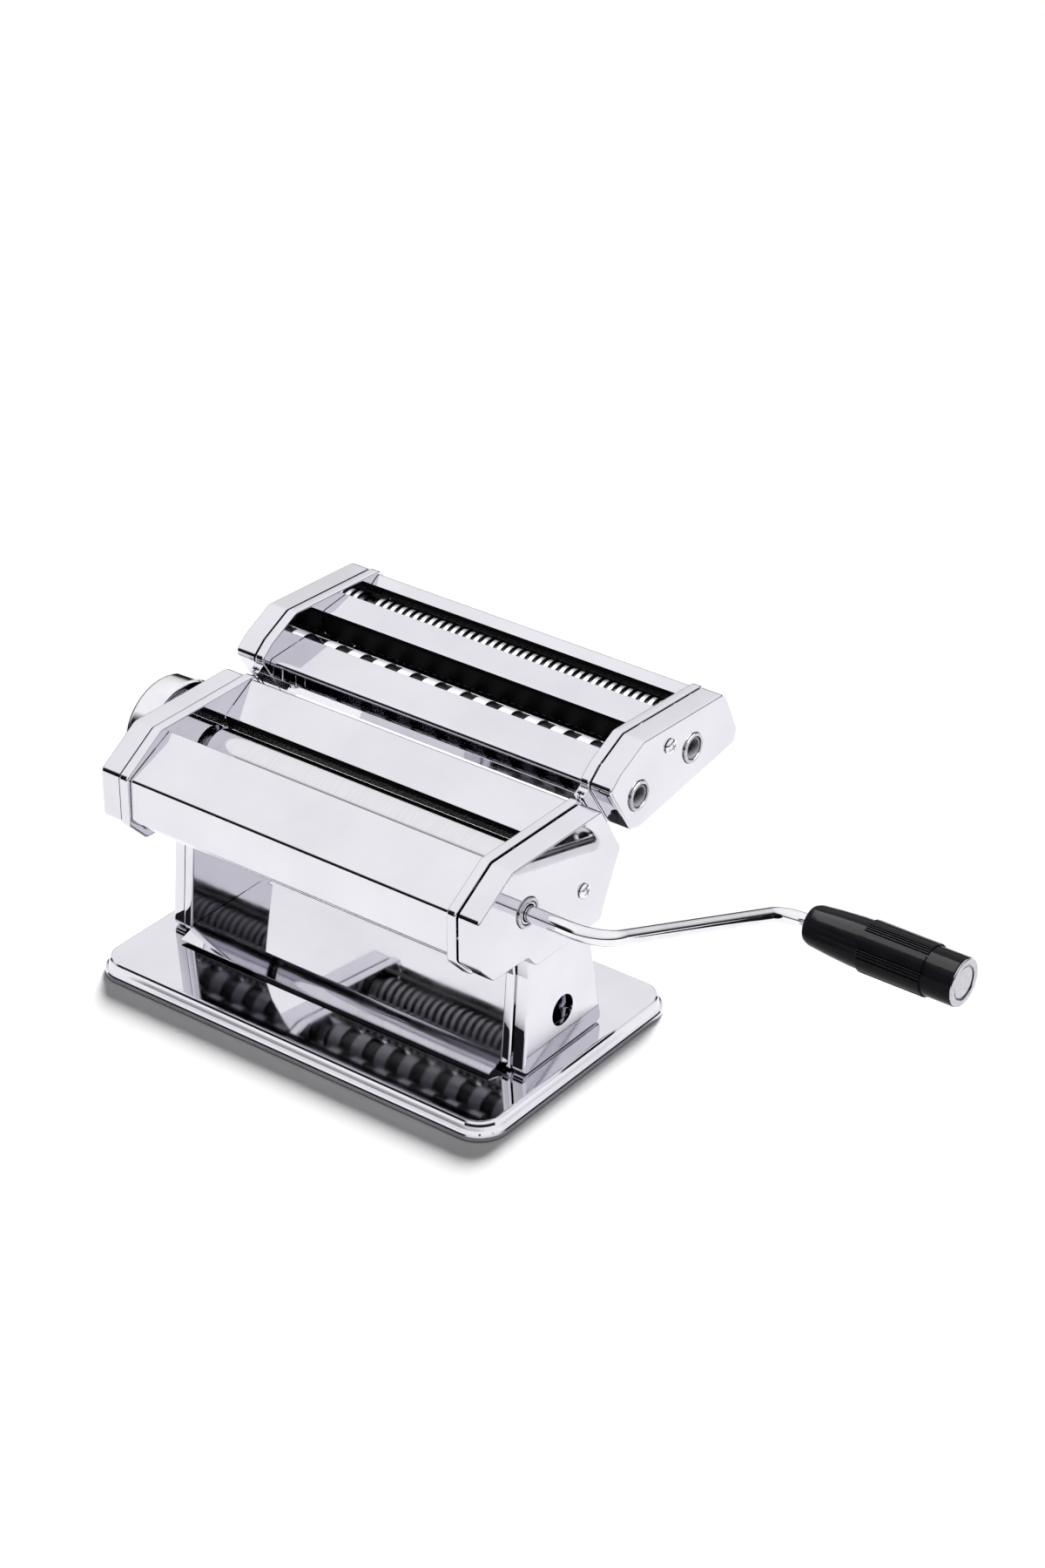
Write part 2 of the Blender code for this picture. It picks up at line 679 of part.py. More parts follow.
def add_crank(build):
    data = bpy.data.curves.new("crank_line", "CURVE")
    data.dimensions = "3D"
    data.bevel_depth = CRANK_ROD_RADIUS * MM
    data.bevel_resolution = 4
    data.use_fill_caps = True
    path = crank_path()
    spline = data.splines.new("POLY")
    spline.points.add(len(path) - 1)
    for point, place in zip(spline.points, path):
        point.co = (*(place * MM), 1.0)
    build.put("crank_rod", mesh_of_curve(data, Matrix()), "crank_pivot", "rod")


def add_handle(build):
    """The grip turns on the rod's end; a cap closes its bore."""
    start, end = HANDLE_START, HANDLE_END
    bore = CRANK_ROD_RADIUS + GAP
    grip = [
        (bore, end - 4.4), (8.4, end - 4.4), (8.4, end), (HANDLE_TAIL_RADIUS - 0.6, end),
        (HANDLE_TAIL_RADIUS, end - 1.0), (HANDLE_TAIL_RADIUS, end - 12.0),
        (HANDLE_RADIUS, end - 14.0), (HANDLE_RADIUS, start + 27.0), (HANDLE_RADIUS - 0.6, start + 22.0),
        (HANDLE_NECK_RADIUS + 0.9, start + 3.0), (HANDLE_NECK_RADIUS, start), (bore, start),
    ]
    turned(build, "handle_grip", grip, HANDLE_AXIS, "handle_pivot", "grip", 20)
    cap = [
        (0, end - 0.9), (6.2, end - 0.9), (6.2, end + 0.2), (8.1, end + 0.2), (8.1, end - 4.1),
        (0, end - 4.1),
    ]
    turned(build, "handle_end_cap", cap, HANDLE_AXIS, "handle_pivot", "rod", 20)


# Cutter head


def mate(axis):
    """The second axis of a pair of cutting rollers, behind and below the first."""
    return (
        axis[0] + CUTTER_PITCH * math.cos(CUTTER_TILT),
        axis[1] + CUTTER_PITCH * math.sin(CUTTER_TILT),
    )


def wide_discs(shift):
    """Discs and grooves of equal width; the mate's are shifted by one strip."""
    step = 2 * WIDE_STRIP
    half = WIDE_STRIP / 2 - WIDE_DISC_GAP / 2
    profile = [(CUTTER_CORE_RADIUS, ROLLER_HALF_LENGTH)]
    reach = int((ROLLER_HALF_LENGTH - half) // step) + 1
    for i in range(reach, -reach - 1, -1):
        middle = i * step + shift
        if abs(middle) + half > ROLLER_HALF_LENGTH:
            continue
        profile += [
            (CUTTER_CORE_RADIUS, middle + half), (CUTTER_RADIUS, middle + half),
            (CUTTER_RADIUS, middle - half), (CUTTER_CORE_RADIUS, middle - half),
        ]
    return profile + [(CUTTER_CORE_RADIUS, -ROLLER_HALF_LENGTH)]


def add_cutters(build):
    left_end = -GEAR_FACE[1] - GAP
    for name, axis, front, rear in (
        ("wide", WIDE_AXIS, wide_discs(0.0), wide_discs(WIDE_STRIP)),
        ("fine", FINE_AXIS, barrel(FINE_RADIUS), barrel(FINE_RADIUS)),
    ):
        pivots = (f"{name}_front_pivot", f"{name}_rear_pivot")
        driven = socket_roller(front, left_end, CUTTER_SOCKET_FACE - 0.6)
        turned(build, f"{name}_cutter_front", driven, axis, pivots[0], "roller", 12)
        turned(build, f"{name}_cutter_rear", plain_roller(rear, left_end), mate(axis), pivots[1], "roller", 12)
        bore = JOURNAL_RADIUS + GAP
        add_gear_pair(
            build, (f"{name}_gear_front", f"{name}_gear_rear"), (axis, mate(axis)), pivots,
            (bore, bore), CUTTER_TOOTH,
        )
        socket = ring_profile(bore, BUSH_OUTER, 78.2, CUTTER_SOCKET_FACE)
        turned(build, f"cutter_socket_{name}", socket, axis, "head_pivot", "bush")


def add_cutter_sides(build):
    journal = JOURNAL_RADIUS + GAP
    for side_name, side in (("left", -1), ("right", 1)):
        holes = [
            circle(CUTTER_TIE, CUTTER_TIE_RADIUS + GAP, 12),
            circle(CUTTER_SCREW, SCREW_SHANK_RADIUS + GAP, 12),
        ]
        for axis in (WIDE_AXIS, FINE_AXIS):
            holes.append(circle(axis, BUSH_OUTER + GAP if side > 0 else journal, 16))
            holes.append(circle(mate(axis), journal, 16))
        low, high = sorted((side * FRAME_INNER, side * FRAME_OUTER))
        edge = fillet(inset(CUTTER_OUTLINE, -0.5), 3.5)
        plate(build, f"cutter_frame_{side_name}", [edge, *holes], low, high, "head_pivot", "steel")
        name = f"cutter_cover_{side_name}"
        solid = cushion_mesh(CUTTER_OUTLINE, COVER_INNER, COVER_OUTER, side, rounding=COVER_ROUND)
        shell = build.put(name, solid, "head_pivot", "steel")
        hollow = cushion_mesh(
            CUTTER_OUTLINE, COVER_INNER - 1.0, COVER_OUTER - COVER_SHEET, side,
            depth=COVER_SHEET, rounding=COVER_ROUND - COVER_SHEET,
        )
        combine(shell, build.tool(f"{name}_hollow", hollow), "DIFFERENCE")
        places = [(CUTTER_SCREW, SCREW_SHANK_RADIUS + 2 * GAP)]
        if side > 0:
            places += [(WIDE_AXIS, BUSH_OUTER + GAP), (FINE_AXIS, BUSH_OUTER + GAP)]
        for i, (centre, radius) in enumerate(places):
            add_hole(build, shell, f"{name}_hole_{i}", centre, radius, side)
        turned(
            build, f"cutter_screw_{side_name}", screw_profile(side, FRAME_INNER + GAP), CUTTER_SCREW,
            "head_pivot", "rod", 12,
        )
    rod = rod_profile(CUTTER_TIE_RADIUS, -FRAME_OUTER, FRAME_OUTER)
    turned(build, "cutter_tie_rod", rod, CUTTER_TIE, "head_pivot", "rod", 12)


def add_cutter_panels(build):
    front = [(28.6, 110.0), (26.2, 113.0), (48.8, 114.4), (48.8, 112.9)]
    panel(build, "cutter_front_panel", front[::-1], "head_pivot", "steel", CUTTER_SHEET)
    middle = [(61.2, 114.6), (60.2, 121.3), (76.0, 123.3), (76.0, 121.6)]
    panel(build, "cutter_middle_panel", middle[::-1], "head_pivot", "steel", CUTTER_SHEET)
    rear = [(91.9, 117.6), (91.2, 120.3), (97.7, 124.4), (107.2, 104.2), (105.4, 100.6)]
    panel(build, "cutter_rear_panel", rear[::-1], "head_pivot", "steel", CUTTER_SHEET)


def add_combs(build):
    """Strippers under the rear cutting rollers."""
    for name, axis in (("wide_comb", WIDE_AXIS), ("fine_comb", FINE_AXIS)):
        middle = mate(axis)
        line = [(middle[0] + y, middle[1] + z) for y, z in COMB_LINE]
        panel(build, name, line, "head_pivot", "nylon")


def on_slope(side):
    """The frame of an extrusion up the slope; its X is measured outwards from the middle."""
    across = Vector((side, 0.0, 0.0))
    along = SLOPE_UP * side
    turn = Matrix((across, SLOPE_OUT, along)).transposed().to_4x4()
    return Matrix.Translation(SLOPE_FOOT * MM) @ turn


def slope_mesh(outline, low, high, side):
    ends = sorted((side * low, side * high))
    return plate_mesh([outline], *ends, on_slope(side))


def add_rails(build):
    """A T rail on each side frame, and the bent hook of the cutter head's frame round it."""
    middle = (FRAME_INNER + FRAME_OUTER) / 2
    half = [(1.65, 1.3), (1.65, 2.0), (0.35, 2.0), (0.35, 3.6), (1.35, 3.6), (1.35, 4.4)]
    rail = [(middle - x, out) for x, out in half] + [(middle + x, out) for x, out in half[::-1]]
    half = [
        (0.65, 2.3), (2.2, 2.3), (2.2, 6.7), (-2.2, 6.7), (-2.2, 2.3), (-0.65, 2.3), (-0.65, 3.3),
        (-1.65, 3.3), (-1.65, 4.7), (1.65, 4.7), (1.65, 3.3), (0.65, 3.3),
    ]
    hook = [(middle - x, out) for x, out in half]
    for side_name, side in (("left", -1), ("right", 1)):
        build.put(f"attachment_rail_{side_name}", slope_mesh(rail, *RAIL_SPAN, side), "frame", "steel")
        frame = bpy.data.objects[f"cutter_frame_{side_name}"]
        tool = build.tool(f"cutter_hook_{side_name}", slope_mesh(hook, *HOOK_SPAN, side))
        combine(frame, tool, "UNION")


def main():
    clear_scene()
    build = Assembly()
    build.pivot("frame", "origin", (0.0, 0.0, 0.0))
    build.pivot("front_roller_pivot", "frame", (0.0, *FRONT_AXIS))
    build.pivot("crank_pivot", "front_roller_pivot", (0.0, *FRONT_AXIS))
    build.pivot("handle_pivot", "crank_pivot", (HANDLE_START, *HANDLE_AXIS))
    build.pivot("carriage_pivot", "frame", (0.0, *REAR_AXIS))
    build.pivot("rear_roller_pivot", "carriage_pivot", (0.0, *REAR_AXIS))
    build.pivot("adjuster_pivot", "frame", (0.0, *REAR_AXIS))
    build.pivot("dial_pivot", "adjuster_pivot", (0.0, *REAR_AXIS))
    build.pivot("head_pivot", "frame", (0.0, *WIDE_AXIS))
    for name, axis in (("wide", WIDE_AXIS), ("fine", FINE_AXIS)):
        build.pivot(f"{name}_front_pivot", "head_pivot", (0.0, *axis))
        build.pivot(f"{name}_rear_pivot", "head_pivot", (0.0, *mate(axis)))
    add_base(build)
    add_side_frame(build, "side_frame_left", -1)
    add_side_frame(build, "side_frame_right", 1)
    add_side_cover(build, "side_cover_left", -1, [(REAR_AXIS, ADJUSTER_RADIUS + 1.0)])
    right_holes = [
        (FRONT_AXIS, BUSH_OUTER + GAP), (REAR_TIE, SCREW_SHANK_RADIUS + 2 * GAP),
        (CLAMP_HOLE, CLAMP_HOLE_RADIUS),
    ]
    add_side_cover(build, "side_cover_right", 1, right_holes)
    add_tie_rods(build)
    add_sheets(build)
    add_front_bushes(build)
    add_rollers(build)
    add_carriage(build)
    add_adjuster(build)
    add_knob(build)
    add_crank(build)
    add_handle(build)
    add_cutters(build)
    add_cutter_sides(build)
    add_cutter_panels(build)
    add_combs(build)
    add_rails(build)


main()
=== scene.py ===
"""Hand-cranked pasta roller: fine sheet metal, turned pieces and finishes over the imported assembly.

The machine's own axes are in millimetres: X to the crank side from the middle of the rollers,
Y to the back, Z up from the table. at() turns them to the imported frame's metres. Outlines of
plates and covers are (Y, Z) points seen from the crank side.
"""

import json
import math

import bmesh
import bpy
from mathutils import Matrix, Vector

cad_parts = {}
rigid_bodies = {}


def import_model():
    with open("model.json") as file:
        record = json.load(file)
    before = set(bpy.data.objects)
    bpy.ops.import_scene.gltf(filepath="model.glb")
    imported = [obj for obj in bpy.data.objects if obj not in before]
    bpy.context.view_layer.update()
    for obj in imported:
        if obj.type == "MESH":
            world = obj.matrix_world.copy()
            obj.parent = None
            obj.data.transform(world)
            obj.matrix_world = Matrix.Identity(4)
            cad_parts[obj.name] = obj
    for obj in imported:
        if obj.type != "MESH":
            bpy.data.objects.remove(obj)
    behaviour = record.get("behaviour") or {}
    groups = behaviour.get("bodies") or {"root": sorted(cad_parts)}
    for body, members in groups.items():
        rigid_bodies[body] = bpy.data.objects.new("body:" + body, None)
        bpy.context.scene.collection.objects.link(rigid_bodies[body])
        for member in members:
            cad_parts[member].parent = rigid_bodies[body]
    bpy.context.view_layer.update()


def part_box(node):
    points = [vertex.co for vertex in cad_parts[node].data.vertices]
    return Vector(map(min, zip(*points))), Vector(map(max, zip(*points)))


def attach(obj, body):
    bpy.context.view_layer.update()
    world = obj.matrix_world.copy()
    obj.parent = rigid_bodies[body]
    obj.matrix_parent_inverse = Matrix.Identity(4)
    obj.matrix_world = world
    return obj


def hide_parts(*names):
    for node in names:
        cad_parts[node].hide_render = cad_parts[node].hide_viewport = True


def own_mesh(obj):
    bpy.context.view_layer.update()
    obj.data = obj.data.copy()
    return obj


bl_info = {
    "name": "Pasta roller machine",
    "version": (1, 0, 0),
    "blender": (4, 5, 0),
    "location": "3D View > Sidebar > Pasta machine",
    "description": "Fine pieces, finishes and a studio stage for a hand-cranked pasta roller",
    "category": "Object",
}

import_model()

MM = 0.001

# Base: the front edge of its plan is this far in front of the machine's origin
BASE_FRONT = -65.0
BASE_LOW, BASE_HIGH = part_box("base_plate")
HOME = Vector(((BASE_LOW.x + BASE_HIGH.x) / 2, BASE_LOW.y - BASE_FRONT * MM, 0.0))
BASE_CORNER = 13.0
BASE_LIFT = 0.6
# The rolled rim from its lip up to the plateau: how far inside the lip, and how high
BASE_RIM = [
    (0.0, 2.2), (0.35, 2.8), (1.2, 3.2), (1.5, 4.2), (1.8, 5.8), (2.2, 6.9), (2.8, 7.6), (3.6, 8.0),
]

# Side frames and covers
PANEL_END = 79.7
FRAME_INNER = 80.0
FRAME_OUTER = 84.5
COVER_INNER = 85.3  # the dark gap beside the frame's bead is 0.8 wide
COVER_OUTER = 95.0
STAND_OUTER = 91.0
GAP = 0.3

# Points nearer than this are one point; an arc takes at most this share of a side it rounds
WELD = 0.001 * MM
ARC_SHARE = 0.45

# Rollers
ROLLER_RADIUS = 10.6
ROLLER_END = 77.5
FRONT_AXIS = (-30.0, 87.0)
REAR_AXIS = (-8.2, 86.2)
ROLLER_TRAVEL = 1.6
BLOCK_HALF = (8.0, 8.6)
JOURNAL = 4.6
REAR_JOURNAL = 6.2
REAR_BORE = 4.7
BUSH_OUTER = 6.3
SOCKET_BORE = 3.7
GEAR_END = -91.5

# Crank
HANDLE_AXIS = (78.0, 50.0)
HANDLE_START = 153.0
HANDLE_END = 223.0
CRANK_ROD = 3.25

# Cutter head
CUTTER_PITCH = 15.2
CUTTER_TILT = math.radians(-8.5)
CUTTER_RADIUS = 8.0
CUTTER_CORE = 6.85
CUTTER_JOURNAL_HOLE = 4.9
WIDE_AXIS = (40.8, 104.9)
FINE_AXIS = (76.9, 109.8)
CUTTER_SCREW = (61.3, 117.6)
CUTTER_TIE = (66.4, 104.8)
REAR_TIE = (5.6, 78.9)
FRONT_TIE = (-50.0, 72.5)
CLAMP_HOLE = (-2.0, 26.6)

HEAD_OUTLINE = [
    (-59.5, 76.0), (-59.5, 96.5), (-39.0, 109.2), (17.0, 109.2), (30.4, 86.6), (27.1, 81.1),
    (19.4, 65.1), (17.7, 59.6), (-24.0, 59.6), (-29.0, 65.7), (-50.5, 66.5),
]
STAND_OUTLINE = [(-27.0, 8.3), (-23.3, 51.4), (-23.6, 62.6), (18.6, 62.6), (15.7, 52.9), (24.2, 8.3)]
# A side frame fills its cover's head and narrows to the stand below it
FRAME_FOOT = [(15.7, 52.9), (24.2, 9.5), (-27.0, 9.5), (-23.3, 51.4)]
FRAME_OUTLINE = HEAD_OUTLINE[:7] + FRAME_FOOT + HEAD_OUTLINE[8:]
CUTTER_OUTLINE = [
    (36.0, 91.4), (21.9, 114.1), (29.0, 120.0), (44.0, 127.3), (97.0, 124.8), (100.5, 122.0),
    (108.5, 104.5), (106.4, 98.8), (42.0, 89.8),
]

# The slide of the cutter head, up the sloping back edge of the side covers
SLOPE_FOOT = Vector((0.0, 30.4, 86.6))
SLOPE_UP = Vector((0.0, 17.0 - 30.4, 109.2 - 86.6)).normalized()
SLOPE_OUT = Vector((0.0, SLOPE_UP.z, -SLOPE_UP.y))
HOOK_SPAN = (4.0, 26.0)

# Faces marked with this attribute are turned into the dark between the rollers, or face down: there the
# polished steel gets painted shade, a near-black colour and a rougher polish
PAINTED_SHADE_ATTRIBUTE = "painted_shade_mask"
PAINTED_SHADE_COLOUR = "0D0C0E"
DARK_ROUGHNESS = 0.6

CAMERA_AIM = (83.46, -17.9, 133.2)
CAMERA_DISTANCE = 1.4
CAMERA_AZIMUTH = math.radians(37.361)
CAMERA_ELEVATION = math.radians(30.274)
CAMERA_LENS = 86.07
STUDIO_STRENGTH = 1.15
MATT_SHARE = 0.16
DARK_CORNER = (-0.5, -0.8, 0.3)
CORNER_EDGES = (math.radians(28), math.radians(17))


# Settings


class SheetSettings(bpy.types.PropertyGroup):
    """Roundings of the pressed and bent sheet steel."""

    cover_corner: bpy.props.FloatProperty(
        name="Cover corner", description="Radius of the corners of a cover's outline",
        default=3.0 * MM, min=0.5 * MM, max=6 * MM, unit="LENGTH",
    )
    cover_edge: bpy.props.FloatProperty(
        name="Cover edge", description="Rounding where a cover's face meets its edge band",
        default=1.1 * MM, min=0.3 * MM, max=3 * MM, unit="LENGTH",
    )
    cover_sheet: bpy.props.FloatProperty(
        name="Cover sheet", description="Thickness of the pressed covers",
        default=0.9 * MM, min=0.5 * MM, max=1.5 * MM, unit="LENGTH",
    )
    bend: bpy.props.FloatProperty(
        name="Bend", description="Outer radius of a bend in a sheet panel",
        default=2.1 * MM, min=0.8 * MM, max=3 * MM, unit="LENGTH",
    )
    bead: bpy.props.FloatProperty(
        name="Frame bead", description="Rounding of the rim of a side frame",
        default=0.9 * MM, min=0.2 * MM, max=2 * MM, unit="LENGTH",
    )


class TurnedSettings(bpy.types.PropertyGroup):
    """Sizes of the turned and moulded pieces."""

    wide_strip: bpy.props.FloatProperty(
        name="Wide strip", description="Width of the ribbon that the wide cutters make",
        default=6.5 * MM, min=4 * MM, max=12 * MM, unit="LENGTH",
    )
    fine_strip: bpy.props.FloatProperty(
        name="Fine strip", description="Width of the strand that the fine cutters make",
        default=2.0 * MM, min=1.2 * MM, max=4 * MM, unit="LENGTH",
    )
    rib_groups: bpy.props.IntProperty(
        name="Rib groups", description="Groups of fine ribs round the handle's sleeve",
        default=6, min=3, max=10,
    )
    rib_height: bpy.props.FloatProperty(
        name="Rib height", description="How far the handle's sleeve stands out of its body",
        default=0.7 * MM, min=0.2 * MM, max=1.2 * MM, unit="LENGTH",
    )


class FinishSettings(bpy.types.PropertyGroup):
    """Colours of the finishes, as sRGB hex values."""

    steel: bpy.props.StringProperty(
        name="Polished steel", description="sRGB hex colour of the pressed sheet", default="DAD9DF",
    )
    roller: bpy.props.StringProperty(
        name="Ground steel", description="sRGB hex colour of the rollers", default="D9D9DD",
    )
    chrome: bpy.props.StringProperty(
        name="Chrome", description="sRGB hex colour of the plated rod and knob", default="E6E6E9",
    )
    zinc: bpy.props.StringProperty(
        name="Zinc", description="sRGB hex colour of the plated bushes", default="C6C6CB",
    )
    grip: bpy.props.StringProperty(
        name="Handle", description="sRGB hex colour of the moulded handle", default="0B0A0D",
    )


# Placing and shaping


def at(x, y, z):
    return HOME + Vector((x, y, z)) * MM


def mate(axis):
    """The second axis of a pair of cutting rollers, behind and below the first."""
    return (
        axis[0] + CUTTER_PITCH * math.cos(CUTTER_TILT),
        axis[1] + CUTTER_PITCH * math.sin(CUTTER_TILT),
    )


def of_kind(made, kind):
    return [part for part in made["geom"] if isinstance(part, kind)]


def round_corners(work, face, radii, steps=6):
    """Fillet a face's corners; a corner with short sides gets a smaller arc."""
    corners = list(face.verts)
    jobs = []
    for i, corner in enumerate(corners):
        back = corners[i - 1].co - corner.co
        ahead = corners[(i + 1) % len(corners)].co - corner.co
        half = back.angle(ahead) / 2
        reach = min(radii[i] / math.tan(half), back.length * ARC_SHARE, ahead.length * ARC_SHARE)
        jobs.append((corner, reach))
    for corner, reach in jobs:
        if reach > 0:
            bmesh.ops.bevel(
                work, geom=[corner], offset=reach, offset_type="OFFSET", affect="VERTICES",
                segments=steps, profile=0.5, material=-1,
            )


def soften(work, edges, width, segments=3):
    bmesh.ops.bevel(
        work, geom=list(edges), offset=width, offset_type="OFFSET", affect="EDGES",
        segments=segments, profile=0.5, material=-1, clamp_overlap=True,
    )


def block(points, radii, push, steps=6):
    """A face through points, its corners rounded, extruded into a closed block."""
    work = bmesh.new()
    face = work.faces.new([work.verts.new(point) for point in points])
    round_corners(work, face, radii, steps)
    made = bmesh.ops.extrude_face_region(work, geom=work.faces[:])
    bmesh.ops.translate(work, verts=of_kind(made, bmesh.types.BMVert), vec=push)
    bmesh.ops.recalc_face_normals(work, faces=work.faces)
    work.faces.ensure_lookup_table()
    return work


def faces_at(work, x):
    """The faces that lie across the machine at x."""
    place = at(x, 0, 0).x
    return [
        face for face in work.faces
        if abs(face.normal.x) > 0.99 and abs(face.calc_center_median().x - place) < 0.02 * MM
    ]


def plate(outline, low, high, corner, rims=0.0, faces=()):
    """A flat plate across the machine; rims is the rounding of its edges at the faces given."""
    points = [at(low, y, z) for y, z in outline]
    work = block(points, [corner] * len(points), Vector(((high - low) * MM, 0, 0)))
    for x in faces:
        edges = {edge for face in faces_at(work, x) for edge in face.edges}
        soften(work, edges, rims)
    return work


def cylinder(work, centre, radius, low, high, segments=48):
    """A closed cylinder along X, for a hole."""
    matrix = Matrix.Translation(at((low + high) / 2, *centre)) @ Matrix.Rotation(math.pi / 2, 4, "Y")
    bmesh.ops.create_cone(
        work, cap_ends=True, segments=segments, radius1=radius * MM, radius2=radius * MM,
        depth=abs(high - low) * MM, matrix=matrix,
    )


def turned(profile, axis, steps=64):
    """A closed (X, radius) profile, or one that ends on the axis, spun about X."""
    work = bmesh.new()
    line = [work.verts.new(at(x, axis[0], axis[1] + radius)) for x, radius in profile]
    on_axis = profile[0][1] == 0 and profile[-1][1] == 0
    ends = list(zip(line, line[1:])) + ([] if on_axis else [(line[-1], line[0])])
    edges = [work.edges.new(pair) for pair in ends]
    bmesh.ops.spin(
        work, geom=line + edges, cent=at(0, *axis), axis=(1, 0, 0), angle=2 * math.pi,
        steps=steps, use_merge=True,
    )
    bmesh.ops.remove_doubles(work, verts=work.verts, dist=WELD)
    bmesh.ops.recalc_face_normals(work, faces=work.faces)
    return work


def ease_turned_edges(work, width, segments=2, angle=math.radians(30)):
    """Round the sharp rings of a turned piece."""
    sharp = [
        edge for edge in work.edges
        if len(edge.link_faces) == 2 and edge.calc_face_angle(0) > angle
    ]
    soften(work, sharp, width, segments)
    bmesh.ops.recalc_face_normals(work, faces=work.faces)


# Pieces


def mesh_object(name, work):
    mesh = bpy.data.meshes.new(name)
    work.to_mesh(mesh)
    work.free()
    made = bpy.data.objects.new(name, mesh)
    bpy.context.scene.collection.objects.link(made)
    return made


def applied(piece, tools=()):
    """The piece with its modifiers made part of its mesh, and its tools removed."""
    bpy.context.view_layer.update()
    evaluated = piece.evaluated_get(bpy.context.evaluated_depsgraph_get())
    piece.data = bpy.data.meshes.new_from_object(evaluated)
    piece.modifiers.clear()
    for tool in tools:
        bpy.data.objects.remove(tool)
    return piece


def combined(piece, tools, operation):
    for tool in tools:
        change = piece.modifiers.new(operation.lower(), "BOOLEAN")
        change.operation = operation
        change.object = tool
    return applied(piece, tools)


def drilled(piece, holes, low, high):
    """Round holes through the sheet that lies between low and high."""
    tools = []
    for i, (centre, radius) in enumerate(holes):
        work = bmesh.new()
        cylinder(work, centre, radius, low, high)
        tools.append(mesh_object(f"drill_{i}", work))
    return combined(piece, tools, "DIFFERENCE")


def shade(piece, angle):
    """Smooth roundings between flat faces that stay mirror flat."""
    piece.data.shade_smooth()
    piece.data.set_sharp_from_angle(angle=math.radians(angle))
    weighted = piece.modifiers.new("flat faces", "WEIGHTED_NORMAL")
    weighted.keep_sharp = True
    weighted.weight = 100


def add_piece(piece, finish, body, nodes, angle=38):
    """Dress a finished object, and say which body it moves with and which nodes it stands for."""
    shade(piece, angle)
    piece.data.materials.clear()
    piece.data.materials.append(finish_of(finish))
    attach(piece, body)
    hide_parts(*nodes)
    return piece


def refinish(finish, *nodes):
    """A CAD node whose shape is right gets its finish on its own mesh."""
    for name in nodes:
        node = bpy.data.objects[name]
        node.data.materials.clear()
        node.data.materials.append(finish_of(finish))


# Finishes


def linear(colour):
    """An sRGB hex colour as linear RGBA."""
    parts = [int(colour[i:i + 2], 16) / 255 for i in (0, 2, 4)]
    return (*(c / 12.92 if c <= 0.04045 else ((c + 0.055) / 1.055) ** 2.4 for c in parts), 1.0)


def add_node(tree, kind, inputs=(), **settings):
    """Add a node with its settings; an input takes a value or another node's output."""
    made = tree.nodes.new(kind)
    for name, value in settings.items():
        setattr(made, name, value)
    for name, value in inputs:
        if isinstance(value, bpy.types.NodeSocket):
            tree.links.new(value, made.inputs[name])
        else:
            made.inputs[name].default_value = value
    return made


def surface(name, metallic=0.0, **constants):
    """A new material with its shader and its Object coordinates."""
    made = bpy.data.materials.new(name)
    made.use_nodes = True
    tree = made.node_tree
    shader = tree.nodes["Principled BSDF"]
    shader.inputs["Metallic"].default_value = metallic
    for socket, value in constants.items():
        shader.inputs[socket.replace("_", " ")].default_value = value
    place = add_node(tree, "ShaderNodeTexCoord").outputs["Object"]
    return made, tree, shader, place


def cloudy(tree, place, feature, detail, low, high):
    """A soft pattern whose patches are feature millimetres across, between two values."""
    noise = add_node(tree, "ShaderNodeTexNoise", [
        ("Vector", place), ("Scale", 1 / (feature * MM)), ("Detail", detail), ("Roughness", 0.55),
    ])
    return add_node(tree, "ShaderNodeMapRange", [
        ("Value", noise.outputs["Fac"]), ("From Min", 0.3), ("From Max", 0.7),
        ("To Min", low), ("To Max", high),
    ]).outputs["Result"]


def brushed(tree, place, across, along, turn, low, high):
    """Fine parallel lines: across and along are a line's width and length in millimetres."""
    stretched = add_node(tree, "ShaderNodeMapping", [
        ("Vector", place), ("Rotation", turn), ("Scale", (1 / along, 1 / across, 1 / across)),
    ])
    return cloudy(tree, stretched.outputs["Vector"], 1.0, 2.0, low, high)


def tint(tree, factor, first, second):
    mixed = add_node(tree, "ShaderNodeMix", data_type="RGBA")
    tree.links.new(factor, mixed.inputs[0])
    mixed.inputs[6].default_value = linear(first)
    mixed.inputs[7].default_value = linear(second)
    return mixed.outputs[2]


def dress(shader, colour, roughness, height, depth):
    """Link a finish's colour, its roughness and the height of its relief, depth millimetres deep."""
    tree = shader.id_data
    bump = add_node(tree, "ShaderNodeBump", [
        ("Height", height), ("Distance", depth * MM), ("Strength", 1.0),
    ])
    tree.links.new(colour, shader.inputs["Base Color"])
    tree.links.new(roughness, shader.inputs["Roughness"])
    tree.links.new(bump.outputs["Normal"], shader.inputs["Normal"])


